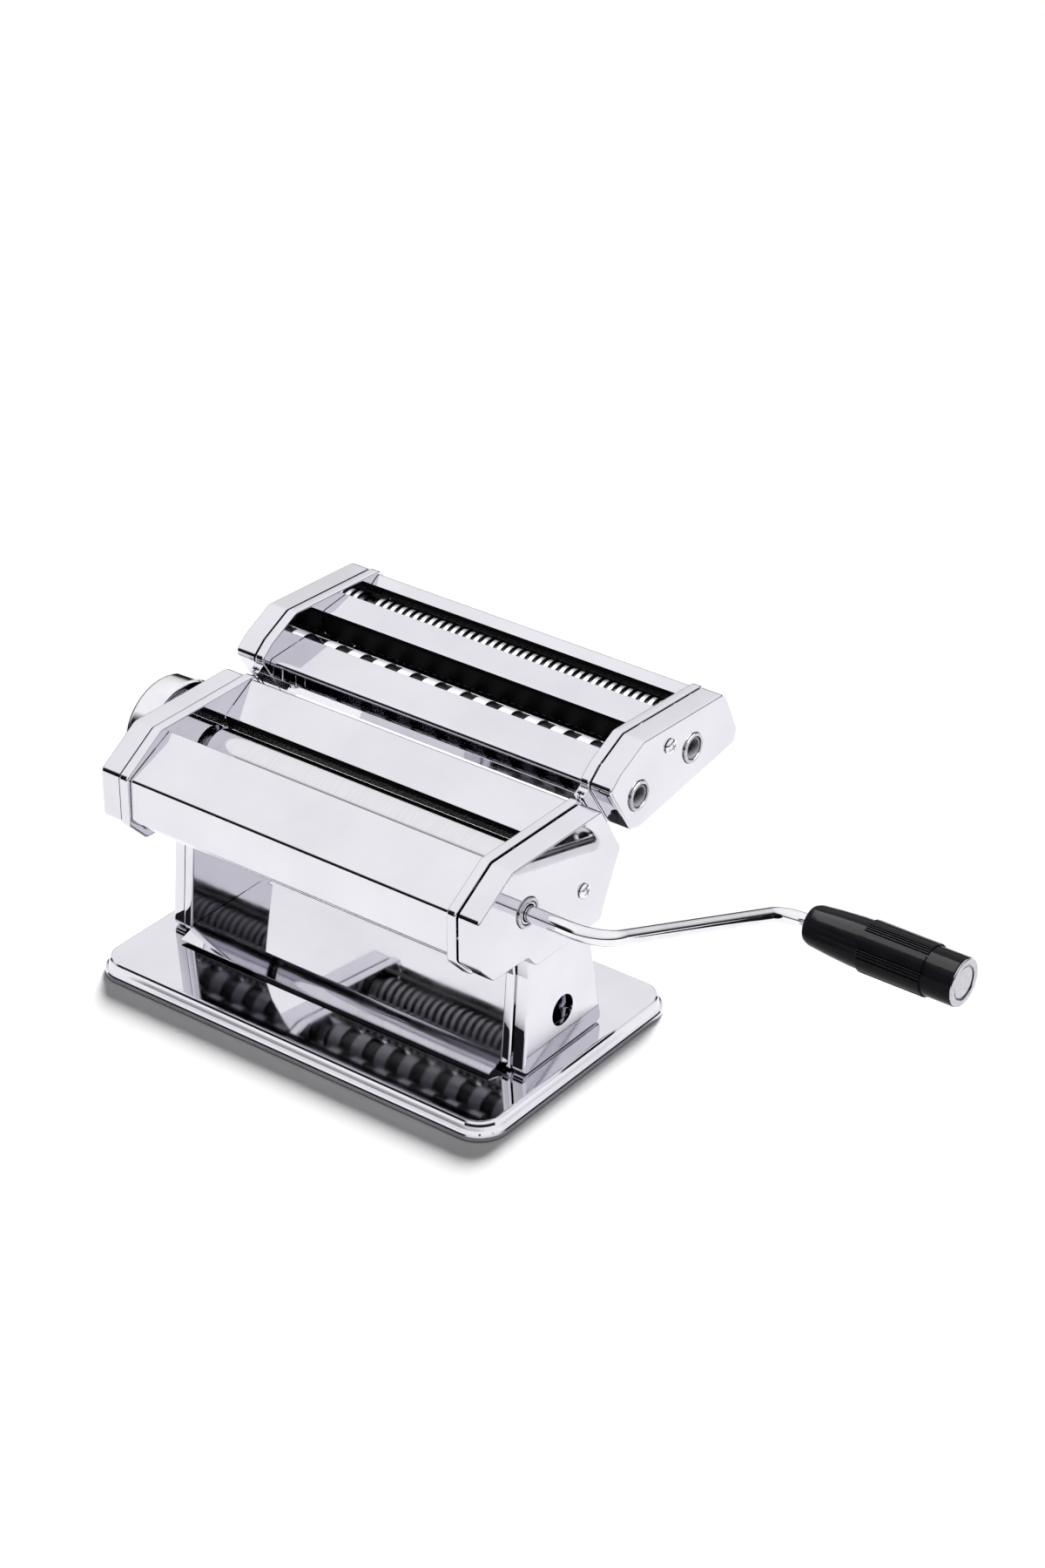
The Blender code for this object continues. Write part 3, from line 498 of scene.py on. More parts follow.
def mirror_polished_stainless():
    """Pressed stainless sheet, buffed to a mirror: crisp reflections that swim very slightly. Faces
    marked for painted shade turn near black and rougher.
    """
    made, tree, shader, place = surface("mirror_polished_stainless", 1.0)
    colours = bpy.context.scene.machine_finishes
    smudge = cloudy(tree, place, 35.0, 3.0, 0.0, 1.0)
    # Painted shade: on the marked faces the colour goes to near black
    painted_shade_mask = add_node(tree, "ShaderNodeAttribute", attribute_name=PAINTED_SHADE_ATTRIBUTE).outputs["Fac"]
    colour_with_painted_shade = add_node(tree, "ShaderNodeMix", data_type="RGBA")
    tree.links.new(painted_shade_mask, colour_with_painted_shade.inputs[0])
    tree.links.new(tint(tree, smudge, colours.steel, "D2D1D8"), colour_with_painted_shade.inputs[6])
    colour_with_painted_shade.inputs[7].default_value = linear(PAINTED_SHADE_COLOUR)
    polish = cloudy(tree, place, 18.0, 4.0, 0.025, 0.06)
    dull = add_node(tree, "ShaderNodeMath", [(0, painted_shade_mask), (1, DARK_ROUGHNESS)], operation="MULTIPLY")
    rough = add_node(tree, "ShaderNodeMath", [(0, polish), (1, dull.outputs[0])], operation="MAXIMUM")
    swim = cloudy(tree, place, 30.0, 0.0, 0.0, 1.0)
    dress(shader, colour_with_painted_shade.outputs[2], rough.outputs[0], swim, 0.02)
    return made


def ground_roller_steel():
    """Ground and plated roller steel: fine rings round the axis blur reflections a little."""
    made, tree, shader, place = surface("ground_roller_steel", 1.0, Anisotropic=0.3)
    colours = bpy.context.scene.machine_finishes
    rings = add_node(tree, "ShaderNodeMapping", [("Vector", place), ("Scale", (1.0, 0.02, 0.02))])
    lines = cloudy(tree, rings.outputs["Vector"], 0.6, 3.0, 0.0, 1.0)
    rough = cloudy(tree, place, 12.0, 3.0, 0.06, 0.12)
    dress(shader, tint(tree, lines, colours.roller, "CFCFD4"), rough, lines, 0.002)
    return made


def bright_chrome(name, rough):
    """Chrome plate on turned steel: the clearest mirror of the machine, a faint polishing haze."""
    made, tree, shader, place = surface(name, 1.0)
    colours = bpy.context.scene.machine_finishes
    haze = cloudy(tree, place, 9.0, 3.0, 0.0, 1.0)
    polish = cloudy(tree, place, 6.0, 4.0, rough * 0.6, rough * 1.4)
    dress(shader, tint(tree, haze, colours.chrome, "DADADF"), polish, haze, 0.004)
    return made


def zinc_plate():
    """Bright zinc on machined steel: satin, with turning marks."""
    made, tree, shader, place = surface("zinc_plated_steel", 1.0)
    colours = bpy.context.scene.machine_finishes
    marks = cloudy(tree, place, 1.4, 3.0, 0.0, 1.0)
    rough = cloudy(tree, place, 2.5, 3.0, 0.14, 0.26)
    dress(shader, tint(tree, marks, colours.zinc, "ABABB2"), rough, marks, 0.006)
    return made


def cutter_steel(name, axis, rim, groove_painted_shade):
    """Oiled grey cutting discs: satin rims that light up from above, and grooves and disc sides painted
    near black as painted shade.
    """
    made, tree, shader, place = surface(name, 0.25)
    centre = at(0, *axis)
    across = add_node(tree, "ShaderNodeMapping", [
        ("Vector", place), ("Location", (0.0, -centre.y, -centre.z)), ("Scale", (0.0, 1.0, 1.0)),
    ])
    radius = add_node(tree, "ShaderNodeVectorMath", operation="LENGTH")
    tree.links.new(across.outputs["Vector"], radius.inputs[0])
    outside = add_node(tree, "ShaderNodeMapRange", [
        ("Value", radius.outputs["Value"]), ("From Min", 7.7 * MM), ("From Max", 7.9 * MM),
    ]).outputs["Result"]
    inside = add_node(tree, "ShaderNodeMapRange", [
        ("Value", radius.outputs["Value"]), ("From Min", 5.2 * MM), ("From Max", 5.0 * MM),
    ]).outputs["Result"]
    # Painted shade: between 5.2 and 7.7 mm from the axis, the discs' sides and the grooves' floors take
    # the near-black groove colour
    bright = add_node(tree, "ShaderNodeMath", [(0, outside), (1, inside)], operation="MAXIMUM")
    rough = cloudy(tree, place, 5.0, 3.0, 0.3, 0.4)
    grit = cloudy(tree, place, 0.8, 2.0, 0.0, 1.0)
    dress(shader, tint(tree, bright.outputs[0], groove_painted_shade, rim), rough, grit, 0.003)
    return made


def milled_gear_steel():
    """Oiled milled steel: darker, with cutter marks across the teeth."""
    made, tree, shader, place = surface("milled_gear_steel", 1.0)
    marks = brushed(tree, place, 0.5, 12.0, (0.0, 0.0, 0.0), 0.0, 1.0)
    rough = cloudy(tree, place, 3.0, 3.0, 0.25, 0.42)
    dress(shader, tint(tree, marks, "9A9A9E", "77777C"), rough, marks, 0.01)
    return made


def moulded_rubber():
    """Moulded rubber feet: matt black with a fine pebble from the mould."""
    made, tree, shader, place = surface("moulded_rubber", 0.0, Specular_IOR_Level=0.3)
    pebble = cloudy(tree, place, 0.7, 2.0, 0.0, 1.0)
    rough = cloudy(tree, place, 4.0, 2.0, 0.65, 0.85)
    dress(shader, tint(tree, pebble, "1C1C1D", "262627"), rough, pebble, 0.03)
    return made


def black_nylon():
    """Moulded nylon strippers: near black with a soft sheen and faint flow marks."""
    made, tree, shader, place = surface("moulded_nylon", 0.0)
    flow = brushed(tree, place, 2.0, 30.0, (0.0, 0.0, 0.0), 0.0, 1.0)
    rough = cloudy(tree, place, 5.0, 2.0, 0.35, 0.5)
    dress(shader, tint(tree, flow, "151518", "1E1E22"), rough, flow, 0.01)
    return made


def glossy_phenolic():
    """The handle's moulded black plastic: glossy, with a slight orange peel."""
    made, tree, shader, place = surface("glossy_black_plastic", 0.0, Specular_IOR_Level=0.05)
    colours = bpy.context.scene.machine_finishes
    peel = cloudy(tree, place, 1.6, 2.0, 0.0, 1.0)
    drift = cloudy(tree, place, 14.0, 2.0, 0.0, 1.0)
    rough = cloudy(tree, place, 6.0, 3.0, 0.10, 0.17)
    dress(shader, tint(tree, drift, colours.grip, "100F13"), rough, peel, 0.008)
    return made


FINISHES = {
    "polished_steel": mirror_polished_stainless,
    "ground_steel": ground_roller_steel,
    "chromed_rod": lambda: bright_chrome("bright_chrome_rod", 0.04),
    "chromed_knob": lambda: bright_chrome("bright_chrome_knob", 0.06),
    "zinc_bush": zinc_plate,
    "gear_steel": milled_gear_steel,
    "rubber": moulded_rubber,
    "nylon": black_nylon,
    "black_handle": glossy_phenolic,
}
made_finishes = {}


def finish_of(slot):
    if slot not in made_finishes:
        made_finishes[slot] = FINISHES[slot]()
    return made_finishes[slot]


# Base and feet


class MACHINE_OT_base(bpy.types.Operator):
    """Rolled sheet base on four rubber feet"""

    bl_idname = "machine.base"
    bl_label = "Base and feet"

    def execute(self, context):
        add_base()
        for end in ("front_left", "front_right", "rear_left", "rear_right"):
            add_foot(f"foot_{end}")
        return {"FINISHED"}


def add_base():
    """The plan is rounded, lifted to the lip and stepped in to the plateau; the wall is solidified."""
    work = bmesh.new()
    size = BASE_HIGH - BASE_LOW
    middle = (BASE_HIGH + BASE_LOW) / 2
    spot = Matrix.Translation((middle.x, middle.y, BASE_LIFT * MM))
    plan = spot @ Matrix.Diagonal((size.x, size.y, 1, 1))
    bmesh.ops.create_grid(work, x_segments=1, y_segments=1, size=0.5, matrix=plan)
    work.faces.ensure_lookup_table()
    round_corners(work, work.faces[0], [BASE_CORNER * MM] * 4, steps=12)
    inside = height = 0.0
    for reach, z in BASE_RIM:
        made = bmesh.ops.extrude_face_region(work, geom=[top_face(work)])
        lift = z - BASE_LIFT - height
        bmesh.ops.translate(work, verts=of_kind(made, bmesh.types.BMVert), vec=(0, 0, lift * MM))
        height += lift
        if reach > inside:
            pull_in(top_face(work), (reach - inside) * MM)
            inside = reach
    bottom = min(work.faces, key=lambda face: face.calc_center_median().z)
    bmesh.ops.delete(work, geom=[bottom], context="FACES_ONLY")
    bmesh.ops.recalc_face_normals(work, faces=work.faces)
    turn_outwards(work)
    base = mesh_object("fine_base_plate", work)
    wall(base, 0.8)
    add_piece(base, "polished_steel", "frame", ["base_plate"])


def turn_outwards(work):
    """An open shell's normals can all point in: its highest face has to look up."""
    if top_face(work).normal.z < 0:
        bmesh.ops.reverse_faces(work, faces=work.faces)


def top_face(work):
    return max(work.faces, key=lambda face: (round(face.calc_center_median().z, 6), face.calc_area()))


def pull_in(face, distance):
    """Move a face's rim in its own plane, square to each of its edges."""
    rim = list(face.verts)
    moves = []
    for i, corner in enumerate(rim):
        before = (corner.co - rim[i - 1].co).normalized()
        after = (rim[(i + 1) % len(rim)].co - corner.co).normalized()
        normals = [face.normal.cross(along) for along in (before, after)]
        inward = (normals[0] + normals[1]).normalized()
        moves.append(inward * distance / max(0.3, inward.dot(normals[0])))
    if (face.calc_center_median() - rim[0].co).dot(moves[0]) < 0:
        moves = [-move for move in moves]
    for corner, move in zip(rim, moves):
        corner.co += move


def wall(piece, thickness):
    """Give an open shell its sheet thickness, inwards."""
    solid = piece.modifiers.new("sheet", "SOLIDIFY")
    solid.thickness = thickness * MM
    solid.offset = -1.0
    solid.use_even_offset = True
    solid.use_rim = True
    return applied(piece)


def add_foot(node):
    """A rubber pad with a rounded tread and a drafted side."""
    low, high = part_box(node)
    middle = (low + high) / 2
    radius = (high.x - low.x) / 2
    work = bmesh.new()
    bmesh.ops.create_cone(
        work, cap_ends=True, segments=48, radius1=radius, radius2=radius - 1.0 * MM,
        depth=high.z - low.z, matrix=Matrix.Translation(middle),
    )
    tread = min(work.faces, key=lambda face: face.calc_center_median().z)
    soften(work, tread.edges, 0.8 * MM)
    tread = min(work.faces, key=lambda face: face.calc_center_median().z)
    bmesh.ops.inset_region(work, faces=[tread], thickness=2.0 * MM, depth=0.0)
    bmesh.ops.inset_region(work, faces=[tread], thickness=0.4 * MM, depth=-0.8 * MM)
    add_piece(mesh_object(f"fine_{node}", work), "rubber", "frame", [node])


# Side frames and covers


class MACHINE_OT_side_frames(bpy.types.Operator):
    """Side plates whose rounded rims show as a bead between the panels and the covers"""

    bl_idname = "machine.side_frames"
    bl_label = "Side frames"

    def execute(self, context):
        y, z = REAR_AXIS
        slot = [
            (y - BLOCK_HALF[0] - GAP, z - BLOCK_HALF[1] - GAP),
            (y - BLOCK_HALF[0] - GAP, z + BLOCK_HALF[1] + GAP),
            (y + BLOCK_HALF[0] + 2 * GAP + ROLLER_TRAVEL, z + BLOCK_HALF[1] + GAP),
            (y + BLOCK_HALF[0] + 2 * GAP + ROLLER_TRAVEL, z - BLOCK_HALF[1] - GAP),
        ]
        holes = [(FRONT_AXIS, BUSH_OUTER + GAP), (REAR_TIE, 2.8), (FRONT_TIE, 2.8)]
        for side_name, side in (("left", -1), ("right", 1)):
            body = beaded_plate(f"fine_side_frame_{side_name}", FRAME_OUTLINE, side, 1.0)
            low, high = side * (FRAME_INNER - 1), side * (FRAME_OUTER + 1)
            window = mesh_object("window", plate(slot, low, high, 0.5 * MM))
            combined(body, [window], "DIFFERENCE")
            drilled(body, holes, low, high)
            add_piece(body, "polished_steel", "frame", [f"side_frame_{side_name}"])
        return {"FINISHED"}


def grown(outline, distance):
    """A clockwise outline moved outwards, corner by corner."""
    moved = []
    for i, corner in enumerate(outline):
        here = Vector(corner)
        before = (here - Vector(outline[i - 1])).normalized()
        after = (Vector(outline[(i + 1) % len(outline)]) - here).normalized()
        outward = Vector((-before.y, before.x)) + Vector((-after.y, after.x))
        moved.append(tuple(here + outward.normalized() * distance / max(0.2, outward.length / 2)))
    return moved


def beaded_plate(name, outline, side, proud):
    bead = bpy.context.scene.machine_sheet.bead
    work = plate(
        grown(outline, proud), side * FRAME_INNER, side * FRAME_OUTER, 3.5 * MM, bead,
        (side * FRAME_INNER, side * FRAME_OUTER),
    )
    return mesh_object(name, work)


class MACHINE_OT_side_covers(bpy.types.Operator):
    """Mirror-polished pressed covers: a deep head over a shallower stand"""

    bl_idname = "machine.side_covers"
    bl_label = "Side covers"

    def execute(self, context):
        holes = {
            -1: [(REAR_AXIS, 3.8)],
            1: [(FRONT_AXIS, BUSH_OUTER + GAP), (REAR_TIE, 2.1), (CLAMP_HOLE, 6.7)],
        }
        for side_name, side in (("left", -1), ("right", 1)):
            shell = pressed_solid(f"fine_side_cover_{side_name}", HEAD_OUTLINE, side, COVER_OUTER)
            stand = pressed_solid("stand", STAND_OUTLINE, side, STAND_OUTER)
            combined(shell, [stand], "UNION")
            open_shell(shell, side)
            drilled(shell, holes[side], side * (STAND_OUTER - 2.5), side * (COVER_OUTER + 2.0))
            add_piece(shell, "polished_steel", "frame", [f"side_cover_{side_name}"])
        return {"FINISHED"}


def pressed_solid(name, outline, side, outer):
    sheet = bpy.context.scene.machine_sheet
    work = plate(
        outline, side * COVER_INNER, side * outer, sheet.cover_corner, sheet.cover_edge, [side * outer]
    )
    return mesh_object(name, work)


def open_shell(shell, side):
    """Open a pressed solid towards its frame, and give it its sheet thickness."""
    work = bmesh.new()
    work.from_mesh(shell.data)
    bmesh.ops.remove_doubles(work, verts=work.verts, dist=WELD)
    bmesh.ops.recalc_face_normals(work, faces=work.faces)
    bmesh.ops.delete(work, geom=faces_at(work, side * COVER_INNER), context="FACES")
    work.to_mesh(shell.data)
    work.free()
    wall(shell, bpy.context.scene.machine_sheet.cover_sheet / MM)


# Sheet panels


class MACHINE_OT_panels(bpy.types.Operator):
    """Bent panels between the side frames: front and top covers, catch tray and scrapers"""

    bl_idname = "machine.panels"
    bl_label = "Panels"

    def execute(self, context):
        front = [(-50.5, 76.4), (-59, 76.4), (-58.6, 95.9), (-39, 105.4), (-34.4, 107.6), (-34, 105.6)]
        top = [(4.2, 90.2), (-2.8, 98.9), (15.8, 109.6), (28.9, 88.0), (27.0, 84.6)]
        tray = [(16.0, 12.6), (-24.6, 12.6), (-34.6, 9.6)]
        add_panel("front_cover", front[::-1], 0.8, "frame")
        # The top cover's lip down to the rollers, and its underside, get painted shade
        add_panel("top_cover", top[::-1], 0.8, "frame", ((-4.0, 90.0), (5.4, 99.5)))
        add_panel("tray", tray, 0.6, "frame")
        add_panel("front_scraper", [(-33.2, 75.4), (-40.5, 70.6), (-47.0, 69.4)], 0.5, "frame")
        add_panel("rear_scraper", [(6.6, 70.0), (0.6, 71.2), (-5.2, 74.9)], 0.5, "carriage")
        return {"FINISHED"}


def sheet_outline(line, thickness):
    """Both sides of a bent sheet: a line of points, and the same line moved to its left."""
    other = []
    for i, point in enumerate(line):
        here = Vector(point)
        before = here - Vector(line[max(i - 1, 0)])
        after = Vector(line[min(i + 1, len(line) - 1)]) - here
        along = [step.normalized() for step in (before, after) if step.length > 0]
        left = sum((Vector((-step.y, step.x)) for step in along), Vector((0.0, 0.0)))
        other.append(tuple(here + left.normalized() * thickness / max(0.2, left.length / len(along))))
    return list(line) + other[::-1]


def mark_painted_shade_faces(work, low, high):
    """Mark a lip, between two (Y, Z) points, and a panel's underside, which face the dark inside, for
    painted shade.
    """
    layer = work.faces.layers.float.new(PAINTED_SHADE_ATTRIBUTE)
    low, high = at(0, *low), at(0, *high)
    for face in work.faces:
        centre = face.calc_center_median()
        in_slot = low.y < centre.y < high.y and low.z < centre.z < high.z
        face[layer] = in_slot or face.normal.z < -0.3


def add_panel(node, line, thickness, body, lip=None):
    """A bent sheet, rounded outside and inside each bend."""
    outer = bpy.context.scene.machine_sheet.bend
    inner = max(outer - thickness * MM, 0.3 * MM)
    bends = len(line) - 2
    radii = [0.0] + [outer] * bends + [0.0, 0.0] + [inner] * bends + [0.0]
    points = [at(-PANEL_END, y, z) for y, z in sheet_outline(line, thickness)]
    work = block(points, radii, Vector((2 * PANEL_END * MM, 0, 0)), steps=5)
    # A lip given here, and the panel's underside, get painted shade
    if lip:
        mark_painted_shade_faces(work, *lip)
    add_piece(mesh_object(f"fine_{node}", work), "polished_steel", body, [node], 33)


# Rollers and bushes


class MACHINE_OT_rollers(bpy.types.Operator):
    """The two ground dough rollers, their bushes, bearings and gears"""

    bl_idname = "machine.rollers"
    bl_label = "Dough rollers"

    def execute(self, context):
        barrel = [(ROLLER_END, ROLLER_RADIUS), (-ROLLER_END, ROLLER_RADIUS)]
        front = socket_roller(barrel, 95.8)
        add_turned("front_roller", front, FRONT_AXIS, "ground_steel", "front_roller", 96, 0.4)
        rear = [
            (FRAME_OUTER, REAR_BORE), (FRAME_OUTER, REAR_JOURNAL), (ROLLER_END, REAR_JOURNAL),
            *barrel, (-ROLLER_END, REAR_JOURNAL), (GEAR_END, REAR_JOURNAL), (GEAR_END, REAR_BORE),
        ]
        add_turned("rear_roller", rear, REAR_AXIS, "ground_steel", "rear_roller", 96, 0.4)
        for side, low, high in (("left", -84.4, -78.2), ("right", 78.2, 96.0)):
            ring = [(low, 4.9), (high, 4.9), (high, BUSH_OUTER), (low, BUSH_OUTER)]
            add_turned(f"front_bush_{side}", ring, FRONT_AXIS, "zinc_bush", "frame", 64, 0.4)
        refinish("zinc_bush", "rear_bearing_left", "rear_bearing_right")
        refinish("gear_steel", "front_gear", "rear_gear")
        return {"FINISHED"}


def socket_roller(barrel, face):
    """Half a section of a roller whose crank-side journal is bored as a socket."""
    depth = face - 34.0
    return [
        (depth, 0), (depth, SOCKET_BORE), (face, SOCKET_BORE), (face, JOURNAL),
        (ROLLER_END, JOURNAL), *barrel, (-ROLLER_END, JOURNAL), (GEAR_END, JOURNAL), (GEAR_END, 0),
    ]


def add_turned(node, profile, axis, finish, body, steps=64, ease=0.0):
    work = turned(profile, axis, steps)
    if ease:
        ease_turned_edges(work, ease * MM)
    return add_piece(mesh_object(f"fine_{node}", work), finish, body, [node], 30)


# Thickness adjuster


class MACHINE_OT_adjuster(bpy.types.Operator):
    """The chromed dial that opens the rollers, its spring, nut, shaft and index plate"""

    bl_idname = "machine.adjuster"
    bl_label = "Thickness adjuster"

    def execute(self, context):
        knob = [
            (-96.6, 3.1), (-96.6, 16.4), (-99.6, 16.4), (-99.6, 19.6), (-96.6, 19.6), (-96.6, 24.2),
            (-97.4, 25.0), (-106.3, 25.0), (-108.0, 24.5), (-109.3, 23.2), (-110.1, 21.4),
            (-110.5, 19.0), (-110.5, 8.6), (-109.9, 8.0), (-101.2, 8.0), (-101.2, 3.1),
        ]
        add_turned("dial_knob", knob, REAR_AXIS, "chromed_knob", "dial", 96)
        nut = [(-111.1, 0), (-111.1, 6.6), (-110.5, 7.2), (-108.2, 7.2), (-108.2, 0)]
        add_turned("dial_nut", nut, REAR_AXIS, "chromed_rod", "adjuster", 64)
        add_spring()
        refinish("chromed_rod", "adjuster_shaft")
        refinish("zinc_bush", "index_plate")
        return {"FINISHED"}


def add_spring():
    """A wound wire: its round section is spun along the coil."""
    wire, coil, turns = 0.5, 5.3, 4.0
    near, far = -101.5 - wire, -107.9 + wire
    work = bmesh.new()
    y, z = REAR_AXIS
    start = Matrix.Translation(at(near, y, z + coil)) @ Matrix.Rotation(math.pi / 2, 4, "X")
    bmesh.ops.create_circle(work, cap_ends=True, segments=12, radius=wire * MM, matrix=start)
    steps = int(turns * 32)
    bmesh.ops.spin(
        work, geom=work.verts[:] + work.edges[:] + work.faces[:], cent=at(0, y, z), axis=(1, 0, 0),
        dvec=Vector(((far - near) / steps * MM, 0, 0)), angle=turns * 2 * math.pi, steps=steps,
    )
    bmesh.ops.remove_doubles(work, verts=work.verts, dist=WELD)
    bmesh.ops.recalc_face_normals(work, faces=work.faces)
    spring = mesh_object("fine_dial_spring", work)
    add_piece(spring, "chromed_rod", "adjuster", ["dial_spring"], 60)
    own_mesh(spring)


# Crank


class MACHINE_OT_crank(bpy.types.Operator):
    """The bent chromed rod and its ribbed black handle"""

    bl_idname = "machine.crank"
    bl_label = "Crank"

    def execute(self, context):
        add_rod()
        add_grip()
        end = HANDLE_END
        cap = [
            (end - 4.1, 0), (end - 4.1, 8.1), (end - 0.5, 8.1), (end - 0.5, 9.9), (end, 9.9),
            (end + 0.2, 9.6), (end + 0.2, 7.5), (end, 7.2), (end - 1.1, 7.2), (end - 1.1, 6.4),
            (end - 0.3, 6.4), (end - 0.3, 0),
        ]
        add_turned("handle_end_cap", cap, HANDLE_AXIS, "zinc_bush", "handle", 64)
        return {"FINISHED"}


def add_rod():
    """A round section pushed along straights and spun round the two bends."""
    work = bmesh.new()
    start = at(64.0, *FRONT_AXIS)
    corner, elbow = at(128.0, *FRONT_AXIS), at(140.0, *HANDLE_AXIS)
    end = at(HANDLE_END - 6.0, *HANDLE_AXIS)
    turn = Matrix.Translation(start) @ Matrix.Rotation(math.pi / 2, 4, "Y")
    bmesh.ops.create_circle(work, cap_ends=True, segments=32, radius=CRANK_ROD * MM, matrix=turn)
    work.faces.ensure_lookup_table()
    tip = list(work.faces)
    here = start
    for bend, after, reach in ((corner, elbow, 13.0 * MM), (elbow, end, 10.0 * MM)):
        before = (bend - here).normalized()
        ahead = (after - bend).normalized()
        tip = pushed(work, tip, bend - before * reach - here)
        angle = before.angle(ahead)
        radius = reach / math.tan(angle / 2)
        inward = (ahead - before * before.dot(ahead)).normalized()
        made = bmesh.ops.spin(
            work, geom=tip, cent=bend - before * reach + inward * radius,
            axis=before.cross(ahead).normalized(), angle=angle, steps=16,
        )
        tip = [part for part in made["geom_last"] if isinstance(part, bmesh.types.BMFace)]
        here = bend + ahead * reach
    pushed(work, tip, end - here)
    bmesh.ops.remove_doubles(work, verts=work.verts, dist=WELD)
    bmesh.ops.recalc_face_normals(work, faces=work.faces)
    ends = [face for face in work.faces if len(face.verts) > 4]
    for face in ends:
        soften(work, face.edges, 0.6 * MM)
    add_piece(mesh_object("fine_crank_rod", work), "chromed_rod", "crank", ["crank_rod"], 40)


def pushed(work, faces, vector):
    made = bmesh.ops.extrude_face_region(work, geom=faces)
    bmesh.ops.translate(work, verts=of_kind(made, bmesh.types.BMVert), vec=vector)
    return of_kind(made, bmesh.types.BMFace)


def add_grip():
    """A cone neck, a raised sleeve of lands and fine ribs, and a plain tail."""
    turned_settings = bpy.context.scene.machine_turned
    start, end = HANDLE_START, HANDLE_END
    ribs_from, ribs_to = start + 27.0, end - 14.0
    sleeve = 11.0 - turned_settings.rib_height / MM
    profile = [
        (start, 3.55), (start, 6.9), (start + 0.3, 7.5), (start + 1.0, 7.9), (start + 3, 8.6),
        (start + 12, 9.5), (start + 22, 10.2), (ribs_from, sleeve), (ribs_to, sleeve),
        (ribs_to + 1.0, 10.2), (end - 1.2, 10.2), (end - 0.7, 10.0), (end - 0.7, 8.4),
        (end - 4.4, 8.4), (end - 4.4, 3.55),
    ]
    group = 20
    steps = turned_settings.rib_groups * group
    work = turned(profile, HANDLE_AXIS, steps)
    middle = (ribs_from + ribs_to) / 2
    raised = []
    axis = at(0, *HANDLE_AXIS)
    for face in work.faces:
        centre = face.calc_center_median()
        outward = Vector((0, centre.y - axis.y, centre.z - axis.z))
        if abs(centre.x - at(middle, 0, 0).x) > 1.0 * MM or outward.length < 9 * MM:
            continue
        place = int((math.atan2(outward.z, outward.y) % (2 * math.pi)) / (2 * math.pi) * steps)
        step = place % group
        if step < 12 or step in (13, 15, 17):
            raised.append(face)
    made = bmesh.ops.extrude_face_region(work, geom=raised)
    bmesh.ops.delete(work, geom=[face for face in raised if face.is_valid], context="FACES_ONLY")
    for corner in of_kind(made, bmesh.types.BMVert):
        outward = Vector((0, corner.co.y - axis.y, corner.co.z - axis.z))
        corner.co += outward.normalized() * turned_settings.rib_height
    bmesh.ops.recalc_face_normals(work, faces=work.faces)
    ridge = [
        edge for edge in work.edges
        if len(edge.link_faces) == 2 and edge.calc_face_angle(0) > math.radians(50)
        and min((v.co.yz - axis.yz).length for v in edge.verts) > 10.9 * MM
    ]
    soften(work, ridge, 0.16 * MM, 2)
    add_piece(mesh_object("fine_handle_grip", work), "black_handle", "handle", ["handle_grip"], 40)


# Tie rods and screws


class MACHINE_OT_fixings(bpy.types.Operator):
    """Tie rods across the machine and cross-head screws in its covers"""

    bl_idname = "machine.fixings"
    bl_label = "Tie rods and screws"

    def execute(self, context):
        add_screw("cover_screw", REAR_TIE, 1, FRAME_INNER - 3.0, "frame")
        add_screw("cutter_screw_left", CUTTER_SCREW, -1, FRAME_INNER + GAP, "cutter_head")
        add_screw("cutter_screw_right", CUTTER_SCREW, 1, FRAME_INNER + GAP, "cutter_head")
        front = [(-FRAME_OUTER, 0), (-FRAME_OUTER, 2.5), (FRAME_OUTER, 2.5), (FRAME_OUTER, 0)]
        add_turned("tie_rod_front", front, FRONT_TIE, "chromed_rod", "frame", 48, 0.3)
        refinish("chromed_rod", "tie_rod_rear", "cutter_tie_rod")
        return {"FINISHED"}


def add_screw(node, centre, side, tip, body):
    """A pan head with a cross recess."""
    head = COVER_OUTER + GAP
    profile = [
        (head + 1.6, 0), (head + 1.55, 1.2), (head + 1.35, 2.1), (head + 0.95, 2.8),
        (head + 0.4, 3.2), (head, 3.2), (head, 1.5), (tip, 1.5), (tip, 0),
    ]
    screw = mesh_object(f"fine_{node}", turned([(side * x, r) for x, r in profile], centre, 48))
    tools = []
    for i, (width, height) in enumerate(((0.75, 3.4), (3.4, 0.75))):
        work = bmesh.new()
        size = Matrix.Diagonal((2.4 * MM, width * MM, height * MM, 1))
        turn = Matrix.Rotation(math.radians(20), 4, "X")
        spot = Matrix.Translation(at(side * (head + 1.8), *centre))
        bmesh.ops.create_cube(work, size=1, matrix=spot @ turn @ size)
        tools.append(mesh_object(f"driver_{i}", work))
    combined(screw, tools, "DIFFERENCE")
    add_piece(screw, "chromed_rod", body, [node], 30)


# Cutter head


